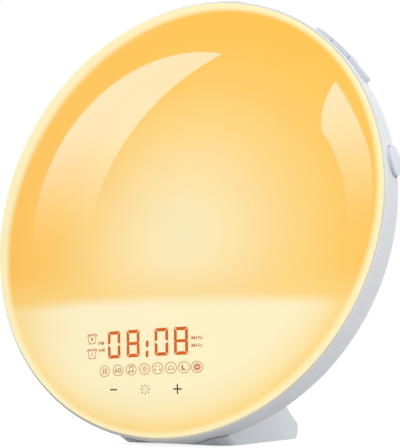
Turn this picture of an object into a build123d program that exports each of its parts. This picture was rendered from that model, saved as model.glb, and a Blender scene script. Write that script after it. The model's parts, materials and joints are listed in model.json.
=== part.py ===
"""Sunrise alarm clock: a round leaning lamp with a display, on a wedge foot.

The row frame is in millimetres: +Z is up, the front faces -Y, and the origin is the middle of the
rubber pad that the clock stands on. The lamp has a frame of its own: its centre is the middle of the
diffuser's rim, and its normal points out of the face. A depth is measured behind the rim, and a drop
below the lamp's centre, both as positive numbers.
"""

import os
from collections import namedtuple
from math import atan2, cos, radians, sin, sqrt

from build123d import *

os.makedirs("parts", exist_ok=True)

# ---------------------------------------------------------------- driving dimensions
# stance
lean_back = 9.3            # degrees that the face leans back from upright
centre_rise = 1.0          # lamp centre above its own radius, over the table
centre_forward = 24.0      # lamp centre in front of the pad's middle

# clearances
fit_gap = 0.2              # between fixed pieces
move_gap = 0.35            # round a moving piece

# diffuser
rim_radius = 86.0
dome_height = 15.6
rim_width = 4.0            # rolled edge outside the dome
rim_drop = 3.2             # height of the rolled edge
rim_bulge = 0.8            # how far the rolled edge stands out from its chord
diffuser_wall = 2.2
skirt_wall = 1.6
skirt_length = 2.7

# housing
band_step = 1.0            # the white band stands out from the diffuser's rim
band_edge = 0.45           # rounding of the band's front edge
band_depth = 12.3          # depth of the corner between band and back cone
shoulder_radius = 8.0
back_depth = 44.0
back_taper = 35.0          # how much narrower the flat back is than the band
back_fillet = 10.0
housing_wall = 2.2
seam_depth = 17.6          # parting line between band and back cover
lip_length = 2.0           # tongue of the back cover inside the band
lip_wall = 1.2
lip_root = 1.2             # stretch that joins the tongue to the cover's wall

# light chamber
tray_wall = 2.0
tray_flange_depth = 1.2
tray_flange = 1.5
tray_key_gap = 2.1         # between the tray and the keys' switch boards
tray_taper = 6.0           # how much narrower the tray's floor is than its mouth
tray_floor_depth = 12.0
board_thickness = 1.6
light_board_inset = 4.0
horizon_rise = 49.0        # horizon above the bottom of the rim
horizon_wall = 1.6
dome_gap = 0.5             # between inner pieces and the diffuser
led_ring_insets = (46.0, 32.0, 15.0, 5.0)  # from the light board's edge
led_ring_counts = (6, 12, 18, 24)
led_size = 3.5
led_height = 0.9
colour_led_inset = 39.0
colour_led_count = 8
colour_led_size = 5.0
colour_led_height = 1.5
light_screw_inset = 24.0
light_screw_angles = (45.0, 135.0, 225.0, 315.0)

# display: places are given right of the middle and below the horizon
display_half_width = 35.0
display_top = 6.0
display_edge_inset = 4.3   # display board inside the tray's flange
display_screw_places = ((32.0, 10.0), (24.0, 34.0))
shroud_half_width = 29.0
shroud_top = 7.5
shroud_bottom = 28.5
digit_height = 10.0
digit_width = 5.7
digit_row = 15.9
digit_offsets = (-14.7, -5.9, 6.6, 14.8)
segment_width = 1.1
segment_gap = 0.5
colon_offset = 0.35
colon_spread = 3.4
icon_row = 25.0
icon_pitch = 5.8
icon_count = 8
icon_radius = 2.2
icon_shift = 0.5
alarm_offset = -25.6
alarm_rows = (14.0, 19.6)
alarm_radius = 2.0
word_offsets = (-20.8, 21.3)
word_rows = (14.9, 17.6)
word_width = 4.0
word_height = 1.4
display_led_size = 0.8
display_led_height = 0.5
touch_row = 32.2
touch_pitch = 13.9
touch_radius = 3.4
touch_gap = 0.3
ribbon_width = 20.0
ribbon_thickness = 0.4
ribbon_row = 17.0

# keys on the band
key_travel = 0.5
key_skin = 2.0             # cap below the inside of the band
key_edge = 0.5             # rounding of a key's crown
key_tab_reach = 1.0        # tabs that hold a key behind the band's wall
key_tab_width = 3.6
key_tab_gap = 0.4
snooze_angle = 0.0         # clockwise from the band's top
snooze_depth = 7.9
snooze_length = 47.0
snooze_width = 9.4
snooze_rise = 1.4
row_angle = 46.9
row_depth = 8.2
row_length = 32.4
row_width = 7.4
row_rise = 1.6
row_split = 0.5            # slit between two keys of the row
oval_angle = 80.3
oval_depth = 7.7
oval_length = 11.4
oval_width = 9.3
oval_rise = 1.2
stem_radius = 1.8
stem_length = 1.5          # under the inside of the key
switch_size = 4.5
switch_height = 3.0
plunger_radius = 1.2
plunger_reach = 1.0        # plunger above the switch body
plunger_grip = 1.6         # plunger inside the switch body
switch_board_thickness = 1.2
switch_board_width = 7.4
pillar_radius = 1.7
pillar_inset = 2.2
pillar_step = 3.6          # from a key's end to the pillar beside it

# fasteners
screw_radius = 1.25
screw_head_radius = 2.5
screw_head_height = 1.7
driver_slot = 0.6
board_screw_radius = 0.8
board_screw_head_radius = 1.5
board_screw_head_height = 1.0
board_screw_grip = 1.8     # board screw beyond the board
pilot_spare = 0.4          # pilot hole beyond the screw's end
post_angles = (22.0, 112.0, 150.0, 210.0, 248.0, 338.0)
post_inset = 5.3           # posts inside the tray's flange
post_radius = 3.2
post_length = 8.5
web_wall = 2.0
tray_screw_length = 6.0
cover_post_angles = (45.0, 135.0, 225.0, 315.0)
cover_post_inset = 25.0    # inside the band
cover_boss_radius = 4.2
cover_boss_floor = 3.0
cover_seat_depth = 29.0
cover_screw_length = 9.0

# main board: places on it are given right of its middle and below it
main_board_gap = 4.0
main_board_width = 76.0
main_board_top = 15.0      # its upper edge below the lamp's centre
main_board_rise = 29.0     # its lower edge above the bottom of the rim
standoff_radius = 3.0
standoff_inset = 5.0
chip_height = 1.5
chip_places = (             # and the width and height of each
    (-22.0, 6.0, 14.0, 14.0),
    (-24.0, -12.0, 6.0, 8.0),
    (16.0, 14.0, 5.0, 6.0),
    (-8.0, 16.0, 6.0, 5.0),
)
capacitor_height = 9.0
capacitor_radius = 3.1
capacitor_places = ((13.0, 6.0), (20.5, 6.0), (28.0, 8.0))
radio_place = (-24.0, -4.0)
radio_width = 10.0
radio_height = 5.0
radio_thickness = 2.5
connector_width = 8.0
connector_height = 4.5
connector_thickness = 5.0
connector_places = ((-33.5, 0.0), (33.0, -3.0), (-13.0, -14.0))
link_width = 12.0
link_height = 2.5
link_drop = 22.0

# loudspeaker
speaker_rise = 18.0
speaker_radius = 25.5
speaker_flange = 1.2
gasket_thickness = 1.0
gasket_inner_radius = 21.5
basket_wall = 1.0
basket_mouth_radius = 22.5
basket_mouth_length = 3.8
basket_length = 11.0
magnet_radius = 15.0
magnet_height = 6.0
yoke_thickness = 2.0
pole_radius = 6.3
coil_radius = 7.0
coil_wall = 0.6
coil_gap = 0.7
coil_length = 8.0
coil_top_depth = 33.0
cone_radius = 19.4
cone_wall = 0.7
cone_mouth_depth = 39.8
cone_neck = 0.9
dust_cap_radius = 8.4
dust_cap_height = 2.4
dust_cap_wall = 0.4
dust_cap_lift = 0.15
surround_gap = 0.3
surround_rise = 1.2
surround_wall = 0.5
speaker_screw_angles = (90.0, 210.0, 330.0)
speaker_screw_circle = 28.1
speaker_post_radius = 2.3
speaker_head_radius = 3.3
speaker_screw_length = 3.4
grille_pitch = 4.4         # from one ring of holes to the next
grille_ring_count = 4
grille_hole_step_count = 6  # holes more in each ring than in the one inside it
grille_hole_radius = 1.1
lead_radius = 0.6
lead_bend = 3.5
lead_half_pitch = 3.0
lead_board_drop = 19.0
lead_run_depth = 33.0

# inlet
inlet_drop = 33.0
pocket_radius = 6.6
pocket_depth = 5.2
pocket_wall = 2.2
inlet_radius = 4.0
inlet_length = 13.0
inlet_collar_radius = 5.2
inlet_collar = 0.8
inlet_bore_radius = 2.85
inlet_bore_depth = 9.0
inlet_pin_radius = 1.0
inlet_pin_setback = 0.8
inlet_nut_radius = 6.2
inlet_nut_thickness = 2.0
inlet_lead_half_pitch = 2.0

# clock battery
battery_offset = 27.0
battery_drop = 18.0
door_radius = 12.4
door_lid = 1.2
door_neck_radius = 11.6
door_tab_reach = 1.0
door_tab_width = 4.0
door_tab_height = 1.0
door_turn = 60.0           # degrees from locked to free
coin_slot_length = 14.0
coin_slot_width = 1.6
coin_slot_depth = 0.5
cell_radius = 10.0
cell_thickness = 3.2
holder_wall = 1.4
holder_depth = 5.8         # cup inside, in front of the cover's wall
holder_floor = 1.0
holder_ring_height = 2.6
contact_thickness = 0.4
contact_width = 5.0
contact_length = 16.0
contact_height = 2.4
battery_lead_half_pitch = 3.0

# foot
foot_width = 49.0
foot_half_length = 28.0
foot_front_rise = 4.4      # height of the undercut front
foot_front_lean = 9.0      # how far it comes forward over that height
foot_front_bow = 4.5
foot_front_corner = 8.0
foot_setback = 6.0         # how far the foot's top stays behind the front of the band
foot_rear_bulge = 1.8       # how far the rear edge stands out at its top
foot_rear_height = 6.3
foot_rear_belly = (2.1, 4.2)  # fullest place of the rear edge: behind the foot, above the table
foot_curve_middle = (9.8, 7.4)
foot_curve_end = (22.4, 21.6)
foot_wall = 2.5
foot_cavity_front = 18.5   # front of the foot's hollow, ahead of the origin
foot_plate_half_length = 21.0
foot_plate_inset = 1.6
foot_plate_thickness = 2.0
foot_plate_corner = 3.0
pad_thickness = 1.2
pad_proud = 0.3
pad_margin = 1.5
foot_screw_angles = (168.0, 192.0)
foot_screw_depth = 26.0
foot_screw_length = 9.0
foot_boss_radius = 4.0
foot_boss_length = 7.5

# ---------------------------------------------------------------- frames and worked-out sizes
lean = radians(lean_back)
band_radius = rim_radius + band_step
centre_height = band_radius + centre_rise
lamp_centre = Vector(0, -centre_forward, centre_height)
face_normal = Vector(0, -cos(lean), sin(lean))
face_up = Vector(0, sin(lean), cos(lean))
lamp_axis = Axis(lamp_centre, face_normal)

band_inner = band_radius - housing_wall
back_flat_radius = band_radius - back_taper
cone_rise = back_depth - band_depth
cone_angle = atan2(cone_rise, back_taper)
cover_inside = back_depth - housing_wall
dome_edge = rim_radius - rim_width
skirt_outer = band_inner - fit_gap
skirt_inner = skirt_outer - skirt_wall
flange_outer = skirt_inner - fit_gap

key_inner = band_inner - key_skin
key_tab_top = band_inner - key_tab_gap
stem_tip_radius = key_inner - stem_length
switch_face = stem_tip_radius - plunger_reach
switch_foot = switch_face - switch_height
switch_board_inner = switch_foot - switch_board_thickness

post_circle = flange_outer - post_inset
cover_post_circle = band_radius - cover_post_inset
tray_mouth_radius = switch_board_inner - tray_wall - tray_key_gap
tray_floor_radius = tray_mouth_radius - tray_taper
tray_flange_back = tray_flange_depth + tray_flange
tray_back = tray_floor_depth + tray_wall
tray_slope = (tray_mouth_radius - tray_floor_radius) / (tray_floor_depth - tray_flange_depth)
display_front = tray_flange_depth - board_thickness
light_front = tray_floor_depth - board_thickness
light_board_radius = tray_floor_radius - light_board_inset
light_screw_circle = light_board_radius - light_screw_inset
horizon_drop = rim_radius - horizon_rise
light_cut_drop = horizon_drop - horizon_wall / 2 - dome_gap
shelf_top_drop = horizon_drop + horizon_wall / 2 + fit_gap
display_edge_radius = flange_outer - display_edge_inset
ribbon_drop = horizon_drop + ribbon_row
main_front = tray_back + main_board_gap
main_back = main_front + board_thickness
main_board_bottom = rim_radius - main_board_rise
main_board_height = main_board_bottom - main_board_top
main_board_drop = (main_board_top + main_board_bottom) / 2
cover_post_back = cover_seat_depth - cover_boss_floor
gasket_front = cover_inside - gasket_thickness
basket_front = gasket_front - basket_length
flange_front = gasket_front - speaker_flange
magnet_front = basket_front - magnet_height
yoke_front = magnet_front - yoke_thickness
pole_hole_radius = coil_radius + coil_wall + coil_gap
pocket_floor_depth = back_depth - pocket_depth
pocket_inside = pocket_floor_depth - pocket_wall
inlet_front = pocket_floor_depth - inlet_length
foot_half_width = foot_width / 2


def at_depth(depth):
    """Plane parallel to the rim, `depth` behind it, facing forwards, with y up the face."""
    return Plane(origin=lamp_centre - face_normal * depth, x_dir=(1, 0, 0), z_dir=face_normal)


def from_behind(depth):
    """Plane parallel to the rim, `depth` behind it, facing backwards, with y up the face."""
    return Plane(origin=lamp_centre - face_normal * depth, x_dir=(-1, 0, 0), z_dir=-face_normal)


def face_place(offset, drop, depth=0.0):
    """Point at `offset` right of, `drop` below and `depth` behind the lamp's centre."""
    return lamp_centre + Vector(1, 0, 0) * offset - face_up * drop - face_normal * depth


def section(centre=lamp_centre):
    """Plane through an axis along the face's normal: x is the radius, y runs forwards."""
    return Plane(origin=centre, x_dir=(1, 0, 0), z_dir=(0, -sin(lean), -cos(lean)))


def outward(angle):
    """Direction out of the band, `angle` degrees clockwise from its top."""
    return Vector(1, 0, 0) * sin(radians(angle)) + face_up * cos(radians(angle))


def round_places(radius, angles):
    """Places on a circle about the lamp's axis, on a plane with y up the face."""
    return [(radius * sin(radians(angle)), radius * cos(radians(angle))) for angle in angles]


def ring_angles(count):
    """Evenly spaced angles."""
    return [360 / count * index for index in range(count)]


def cap_sphere(edge, rise):
    """Radius of the sphere of a shallow cap."""
    return (edge**2 + rise**2) / (2 * rise)


def cap_drop(sphere, radius):
    """How far a sphere falls from its top at a radius."""
    return sphere - sqrt(sphere**2 - radius**2)


dome_sphere = cap_sphere(dome_edge, dome_height - rim_drop)


def dome_inside(radius):
    """Height of the diffuser's inner face over the rim."""
    return dome_height - diffuser_wall - cap_drop(dome_sphere - diffuser_wall, radius)


def cone_radius_at(depth):
    """Radius of the housing's back cone at a depth."""
    return band_radius - (depth - band_depth) * back_taper / cone_rise


def turned(points, centre=lamp_centre):
    """Solid of revolution about the face's normal through `centre`, from (radius, forwards) points."""
    with BuildPart() as body:
        with BuildSketch(section(centre)):
            with BuildLine():
                Polyline(*points, close=True)
            make_face()
        revolve(axis=Axis(centre, face_normal))
    return body.part


def ring(inner, outer, front, back, centre=lamp_centre):
    """Ring about the face's normal, between two depths."""
    return turned([(inner, -front), (outer, -front), (outer, -back), (inner, -back)], centre)


def slab(front, back):
    """Everything between two depths."""
    return ring(0, 2 * band_radius, front, back)


def housing_solid(growth=0.0):
    """The housing's outside as a full solid, `growth` larger all over behind the rim."""
    corner_radius = band_radius + growth
    corner_depth = band_depth + growth * cos(cone_angle) / (1 + sin(cone_angle))
    flat_radius = back_flat_radius + growth * sin(cone_angle) / (1 + cos(cone_angle))
    flat_depth = back_depth + growth
    with BuildPart() as body:
        with BuildSketch(section()):
            with BuildLine():
                FilletPolyline(
                    (corner_radius, 0),
                    (corner_radius, -corner_depth),
                    (flat_radius, -flat_depth),
                    (0, -flat_depth),
                    radius=(shoulder_radius + growth, back_fillet + growth),
                )
                Polyline((0, -flat_depth), (0, 0), (corner_radius, 0))
            make_face()
        revolve(axis=lamp_axis)
    return body.part


def housing_layer(outer_growth, inner_growth, front, back):
    """Part of the housing's wall between two offsets and two depths."""
    with BuildPart() as layer:
        add(housing_solid(outer_growth))
        add(housing_solid(inner_growth), mode=Mode.SUBTRACT)
        add(slab(front, back), mode=Mode.INTERSECT)
    return layer.part


def chamber_solid(gap):
    """The space between the tray and the diffuser's dome, `gap` clear of the dome."""
    edge = dome_edge - rim_width
    middle = edge / 2
    with BuildPart() as body:
        with BuildSketch(section()):
            with BuildLine():
                Polyline(
                    (0, dome_inside(0) - gap),
                    (0, -tray_floor_depth),
                    (tray_floor_radius - gap, -tray_floor_depth),
                    (tray_mouth_radius - gap, -tray_flange_depth),
                    (edge, -tray_flange_depth),
                    (edge, dome_inside(edge) - gap),
                )
                ThreePointArc(
                    (edge, dome_inside(edge) - gap),
                    (middle, dome_inside(middle) - gap),
                    (0, dome_inside(0) - gap),
                )
            make_face()
        revolve(axis=lamp_axis)
    return body.part


def screw(seat, length, radius=screw_radius, head_radius=screw_head_radius, head=screw_head_height):
    """Slotted screw: `seat` is the plane under its head, facing out of the head."""
    with BuildPart() as body:
        with BuildSketch(seat):
            Circle(head_radius)
        extrude(amount=head)
        with BuildSketch(seat):
            Circle(radius)
        extrude(amount=-length)
        with BuildSketch(seat.offset(head)):
            Rectangle(2 * (head_radius + driver_slot), driver_slot)
        extrude(amount=-driver_slot, mode=Mode.SUBTRACT)
    return body.part


def board_screw(seat, thickness):
    """Small screw through a board."""
    return screw(
        seat,
        thickness + board_screw_grip,
        board_screw_radius,
        board_screw_head_radius,
        board_screw_head_height,
    )


def save(part, name):
    """Label one finished piece and write its file."""
    part.label = name
    export_step(part, f"parts/{name}.step")


# ---------------------------------------------------------------- diffuser
middle_radius = dome_edge / 2
middle_height = dome_height - cap_drop(dome_sphere, middle_radius)
rim_chord = sqrt(rim_width**2 + rim_drop**2)
rim_middle = (
    dome_edge + rim_width / 2 + rim_bulge * rim_drop / rim_chord,
    rim_drop / 2 + rim_bulge * rim_width / rim_chord,
)
inner_edge = dome_edge - diffuser_wall
with BuildPart() as front_diffuser:
    with BuildSketch(section()):
        with BuildLine():
            ThreePointArc((0, dome_height), (middle_radius, middle_height), (dome_edge, rim_drop))
            ThreePointArc((dome_edge, rim_drop), rim_middle, (rim_radius, 0))
            Polyline(
                (rim_radius, 0),
                (skirt_outer, 0),
                (skirt_outer, -skirt_length),
                (skirt_inner, -skirt_length),
                (skirt_inner, (rim_drop - diffuser_wall) / 2),
                (inner_edge, dome_inside(inner_edge)),
            )
            ThreePointArc(
                (inner_edge, dome_inside(inner_edge)),
                (inner_edge / 2, dome_inside(inner_edge / 2)),
                (0, dome_inside(0)),
            )
            Line((0, dome_inside(0)), (0, dome_height))
        make_face()
    revolve(axis=lamp_axis)
save(front_diffuser.part, "front_diffuser")

# ---------------------------------------------------------------- key banks
Bank = namedtuple("Bank", "angle depth length width rise oval stems")
banks = {
    "snooze": Bank(snooze_angle, snooze_depth, snooze_length, snooze_width, snooze_rise, False, (0.0,)),
    "row": Bank(
        row_angle, row_depth, row_length, row_width, row_rise, False, (-row_length / 3, 0.0, row_length / 3)
    ),
    "oval": Bank(oval_angle, oval_depth, oval_length, oval_width, oval_rise, True, (0.0,)),
}


def bank_plane(bank, radius):
    """Plane across a bank's normal: x runs clockwise round the band and y rearwards."""
    tangent = Vector(1, 0, 0) * cos(radians(bank.angle)) - face_up * sin(radians(bank.angle))
    normal = outward(bank.angle)
    origin = lamp_centre - face_normal * bank.depth + normal * radius
    return Plane(origin=origin, x_dir=tangent, z_dir=normal)


def bank_root(bank):
    """Plane under a whole bank, also under its ends, where the band curves away."""
    reach = bank.length / 2 + pillar_step
    return bank_plane(bank, sqrt(key_inner**2 - reach**2))


def bank_outline(bank, growth=0.0):
    """Outline of a whole bank, seen from outside."""
    with BuildSketch() as outline:
        if bank.oval:
            Ellipse(bank.length / 2 + growth, bank.width / 2 + growth)
        else:
            SlotOverall(bank.length + 2 * growth, bank.width + 2 * growth)
    return outline.sketch


def pillar_places(bank):
    """Where a bank's switch board is screwed to the band."""
    reach = bank.length / 2 + pillar_step
    return ((-reach, 0), (reach, 0))


def key_cap(bank, low, high, stem):
    """One key between two places along its bank, with its tabs and its stem."""
    crown = band_radius + bank.rise
    low_reach = key_tab_reach if low == -bank.length / 2 else 0
    high_reach = key_tab_reach if high == bank.length / 2 else 0
    with BuildPart() as cap:
        with BuildSketch(bank_root(bank)):
            add(bank_outline(bank))
            with Locations(((low + high) / 2, 0)):
                Rectangle(high - low, 2 * bank.width, mode=Mode.INTERSECT)
        extrude(amount=crown)
        add(ring(key_inner, crown, 0, seam_depth), mode=Mode.INTERSECT)
        crown_face = cap.faces().filter_by(GeomType.CYLINDER).sort_by(SortBy.AREA)[-1]
        fillet(crown_face.edges(), key_edge)
    with BuildPart() as tabs:
        with BuildSketch(bank_root(bank)):
            with Locations(((low - low_reach + high + high_reach) / 2, 0)):
                Rectangle(high + high_reach - low + low_reach, key_tab_width)
        extrude(amount=crown)
        add(ring(key_inner, key_tab_top, 0, seam_depth), mode=Mode.INTERSECT)
    with BuildPart() as key:
        add(cap.part)
        add(tabs.part)
        with BuildSketch(bank_plane(bank, stem_tip_radius)):
            with Locations((stem, 0)):
                Circle(stem_radius)
        extrude(amount=key_inner + key_skin / 2 - stem_tip_radius)
    return key.part


# ---------------------------------------------------------------- rim band
post_root_depth = tray_flange_back + post_length
with BuildPart() as band_fixings:
    # posts that the tray is screwed to, with webs to the wall
    for angle in post_angles:
        post_plane = Plane(
            origin=lamp_centre + outward(angle) * post_circle - face_normal * post_root_depth,
            x_dir=outward(angle),
            z_dir=face_normal,
        )
        with BuildSketch(post_plane):
            Circle(post_radius)
            with Locations(((band_radius - post_circle) / 2, 0)):
                Rectangle(band_radius - post_circle, web_wall)
        extrude(amount=post_length)
    # pillars for the switch boards
    for bank in banks.values():
        with BuildSketch(bank_plane(bank, switch_foot)):
            with Locations(*pillar_places(bank)):
                Circle(pillar_radius)
        extrude(amount=band_radius - switch_foot)
    add(housing_solid(-housing_wall / 2), mode=Mode.INTERSECT)

with BuildPart() as rim_band:
    add(housing_layer(0, -housing_wall, 0, seam_depth))
    fillet(rim_band.faces().sort_by(lamp_axis)[-1].outer_wire().edges(), band_edge)
    for bank in banks.values():
        with BuildSketch(bank_root(bank)):
            add(bank_outline(bank, move_gap))
        extrude(amount=band_radius, mode=Mode.SUBTRACT)
    add(band_fixings.part)
    with BuildSketch(at_depth(tray_flange_back)):
        with Locations(*round_places(post_circle, post_angles)):
            Circle(screw_radius + fit_gap)
    extrude(amount=-(tray_screw_length - tray_flange + pilot_spare), mode=Mode.SUBTRACT)
    for bank in banks.values():
        with BuildSketch(bank_plane(bank, switch_foot)):
            with Locations(*pillar_places(bank)):
                Circle(board_screw_radius + fit_gap)
        extrude(amount=board_screw_grip + pilot_spare, mode=Mode.SUBTRACT)
save(rim_band.part, "rim_band")

# ---------------------------------------------------------------- keys, switches and their boards
third = row_length / 6 - row_split / 2
save(key_cap(banks["snooze"], -snooze_length / 2, snooze_length / 2, 0), "snooze_key")
save(key_cap(banks["oval"], -oval_length / 2, oval_length / 2, 0), "oval_key")
save(key_cap(banks["row"], -row_length / 2, -third - row_split, -row_length / 3), "row_key_upper")
save(key_cap(banks["row"], -third, third, 0), "row_key_middle")
save(key_cap(banks["row"], third + row_split, row_length / 2, row_length / 3), "row_key_lower")


def plunger(bank, stem):
    """Switch plunger under a key's stem."""
    with BuildPart() as pin:
        with BuildSketch(bank_plane(bank, switch_face - plunger_grip)):
            with Locations((stem, 0)):
                Circle(plunger_radius)
        extrude(amount=plunger_grip + plunger_reach)
    return pin.part


save(plunger(banks["snooze"], 0), "snooze_plunger")
save(plunger(banks["oval"], 0), "oval_plunger")
for name, stem in zip(("upper", "middle", "lower"), banks["row"].stems):
    save(plunger(banks["row"], stem), f"row_plunger_{name}")

with BuildPart() as key_switches:
    for bank in banks.values():
        places = [(stem, 0) for stem in bank.stems]
        with BuildSketch(bank_plane(bank, switch_foot)):
            with Locations(*places):
                Rectangle(switch_size, switch_size)
        extrude(amount=switch_height)
        with BuildSketch(bank_plane(bank, switch_face)):
            with Locations(*places):
                Circle(plunger_radius + move_gap)
        extrude(amount=-(plunger_grip + key_travel + move_gap), mode=Mode.SUBTRACT)
save(key_switches.part, "key_switches")

with BuildPart() as switch_boards:
    for bank in banks.values():
        with BuildSketch(bank_plane(bank, switch_board_inner)):
            Rectangle(bank.length + 2 * (pillar_step + pillar_inset), switch_board_width)
            with Locations(*pillar_places(bank)):
                Circle(board_screw_radius + fit_gap, mode=Mode.SUBTRACT)
        extrude(amount=switch_board_thickness)
save(switch_boards.part, "switch_boards")

# ---------------------------------------------------------------- rear cover
cone_post_places = round_places(cover_post_circle, cover_post_angles)
speaker_centre = face_place(0, -speaker_rise)
speaker_places = [
    (x, y + speaker_rise) for x, y in round_places(speaker_screw_circle, speaker_screw_angles)
]
battery_place = (battery_offset, -battery_drop)
battery_centre = face_place(battery_offset, battery_drop)
inlet_place = (0, -inlet_drop)
inlet_centre = face_place(0, inlet_drop)


def behind(places):
    """The same places on a plane that faces backwards."""
    return [(-x, y) for x, y in places]


def foot_screw_plane(angle, growth):
    """Plane across a foot screw, `growth` outside the housing's back cone, facing out of it."""
    normal = outward(angle) * sin(cone_angle) - face_normal * cos(cone_angle)
    surface = outward(angle) * cone_radius_at(foot_screw_depth) - face_normal * foot_screw_depth
    return Plane(origin=lamp_centre + surface + normal * growth, z_dir=normal)


with BuildPart() as cover_bosses:
    with BuildSketch(at_depth(cover_post_back)):
        with Locations(*cone_post_places):
            Circle(cover_boss_radius)
    extrude(amount=-(back_depth - cover_post_back))
    with BuildSketch(at_depth(pocket_inside)):
        with Locations(inlet_place):
            Circle(pocket_radius + pocket_wall)
    extrude(amount=-(back_depth - pocket_inside))
    with BuildSketch(at_depth(flange_front)):
        with Locations(*speaker_places):
            Circle(speaker_post_radius)
    extrude(amount=-(cover_inside + housing_wall / 2 - flange_front))
    add(housing_solid(), mode=Mode.INTERSECT)

with BuildPart() as rear_cover:
    add(housing_layer(0, -housing_wall, seam_depth, 2 * back_depth))
    lip_outer = -housing_wall - fit_gap
    add(housing_layer(lip_outer, lip_outer - lip_wall, seam_depth - lip_length, seam_depth))
    add(housing_layer(-housing_wall / 2, lip_outer - lip_wall, seam_depth, seam_depth + lip_root))
    add(cover_bosses.part)
    # head pockets and holes of the cover screws
    with BuildSketch(from_behind(cover_seat_depth)):
        with Locations(*behind(cone_post_places)):
            Circle(screw_head_radius + fit_gap)
    extrude(amount=back_depth, mode=Mode.SUBTRACT)
    with BuildSketch(at_depth(back_depth)):
        with Locations(*cone_post_places):
            Circle(screw_radius + fit_gap)
    extrude(amount=back_depth - cover_post_back, mode=Mode.SUBTRACT)
    # grille
    with BuildSketch(from_behind(cover_inside)):
        with Locations((0, speaker_rise)):
            Circle(grille_hole_radius)
            for index in range(1, grille_ring_count + 1):
                with PolarLocations(grille_pitch * index, grille_hole_step_count * index):
                    Circle(grille_hole_radius)
    extrude(amount=2 * housing_wall, mode=Mode.SUBTRACT)
    with BuildSketch(at_depth(flange_front)):
        with Locations(*speaker_places):
            Circle(screw_radius + fit_gap)
    extrude(amount=-(speaker_screw_length + pilot_spare / 2), mode=Mode.SUBTRACT)
    # inlet pocket
    with BuildSketch(from_behind(pocket_floor_depth)):
        with Locations(inlet_place):
            Circle(pocket_radius)
    extrude(amount=2 * pocket_depth, mode=Mode.SUBTRACT)
    with BuildSketch(from_behind(pocket_inside)):
        with Locations(inlet_place):
            Circle(inlet_radius + fit_gap)
    extrude(amount=2 * pocket_depth, mode=Mode.SUBTRACT)
    # battery door's seat, its hole and the notches that let its tabs in
    with BuildSketch(from_behind(back_depth - door_lid - fit_gap)):
        with Locations(*behind([battery_place])):
            Circle(door_radius + move_gap)
    extrude(amount=2 * door_lid, mode=Mode.SUBTRACT)
    with BuildSketch(at_depth(back_depth)):
        with Locations(battery_place):
            Circle(door_neck_radius + move_gap)
            with Locations(Location((0, 0, 0), (0, 0, -door_turn))):
                Rectangle(2 * (door_radius + move_gap), door_tab_width + 2 * move_gap)
    extrude(amount=2 * housing_wall, mode=Mode.SUBTRACT)
    # foot screws
    for angle in foot_screw_angles:
        with BuildSketch(foot_screw_plane(angle, -2 * housing_wall)):
            Circle(screw_radius + fit_gap)
        extrude(amount=4 * housing_wall, mode=Mode.SUBTRACT)
save(rear_cover.part, "rear_cover")

# ---------------------------------------------------------------- light tray
display_screw_holes = [
    (side * offset_x, -horizon_drop - row) for offset_x, row in display_screw_places for side in (-1, 1)
]
tray_outer_step = tray_wall * sqrt(1 + tray_slope**2)
with BuildPart() as light_tray:
    add(
        turned(
            [
                (0, -tray_floor_depth),
                (tray_floor_radius, -tray_floor_depth),
                (tray_mouth_radius, -tray_flange_depth),
                (flange_outer, -tray_flange_depth),
                (flange_outer, -tray_flange_back),
                (tray_mouth_radius - tray_slope * tray_flange + tray_outer_step, -tray_flange_back),
                (tray_floor_radius - tray_slope * tray_wall + tray_outer_step, -tray_back),
                (0, -tray_back),
            ]
        )
    )
    # shelf that carries the display board
    with BuildSketch(at_depth(tray_flange_back)):
        Circle(tray_mouth_radius + tray_wall / 2)
        with Locations((0, -shelf_top_drop)):
            Rectangle(
                2 * rim_radius, 2 * rim_radius, align=(Align.CENTER, Align.MIN), mode=Mode.SUBTRACT
            )
    extrude(amount=tray_flange)
    # standoffs of the main board and posts for the rear cover
    with BuildSketch(from_behind(tray_back)):
        with Locations((0, -main_board_drop)):
            with GridLocations(
                main_board_width - 2 * standoff_inset, main_board_height - 2 * standoff_inset, 2, 2
            ):
                Circle(standoff_radius)
    extrude(amount=main_board_gap)
    with BuildSketch(from_behind(tray_back)):
        with Locations(*behind(cone_post_places)):
            Circle(post_radius)
    extrude(amount=cover_post_back - tray_back)
    with BuildSketch(at_depth(cover_post_back)):
        with Locations(*cone_post_places):
            Circle(screw_radius + fit_gap)
    extrude(amount=cover_screw_length - cover_boss_floor + pilot_spare, mode=Mode.SUBTRACT)
    # holes for the tray, board and display screws
    with BuildSketch(at_depth(tray_flange_back)):
        with Locations(*round_places(post_circle, post_angles)):
            Circle(screw_radius + fit_gap)
        with Locations(*display_screw_holes):
            Circle(board_screw_radius + fit_gap)
        with Locations((0, -ribbon_drop)):
            Rectangle(ribbon_width + 2 * fit_gap, ribbon_thickness + 2 * fit_gap)
    extrude(amount=2 * tray_flange, mode=Mode.SUBTRACT)
    with BuildSketch(at_depth(tray_back)):
        with Locations(*round_places(light_screw_circle, light_screw_angles)):
            Circle(board_screw_radius + fit_gap)
        with Locations((0, -link_drop)):
            Rectangle(link_width + 2 * fit_gap, link_height + 2 * fit_gap)
        with Locations((0, -ribbon_drop)):
            Rectangle(ribbon_width + 2 * fit_gap, ribbon_thickness + 2 * fit_gap)
    extrude(amount=tray_wall, mode=Mode.SUBTRACT)
    with BuildSketch(from_behind(main_front)):
        with Locations((0, -main_board_drop)):
            with GridLocations(
                main_board_width - 2 * standoff_inset, main_board_height - 2 * standoff_inset, 2, 2
            ):
                Circle(board_screw_radius + fit_gap)
    extrude(amount=-(board_screw_grip + pilot_spare), mode=Mode.SUBTRACT)
save(light_tray.part, "light_tray")

with BuildPart() as horizon_baffle:
    with BuildSketch(at_depth(tray_floor_depth)):
        with Locations((0, -horizon_drop)):
            Rectangle(2 * rim_radius, horizon_wall)
    extrude(amount=tray_floor_depth + dome_height)
    add(chamber_solid(dome_gap), mode=Mode.INTERSECT)
save(horizon_baffle.part, "horizon_baffle")

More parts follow.
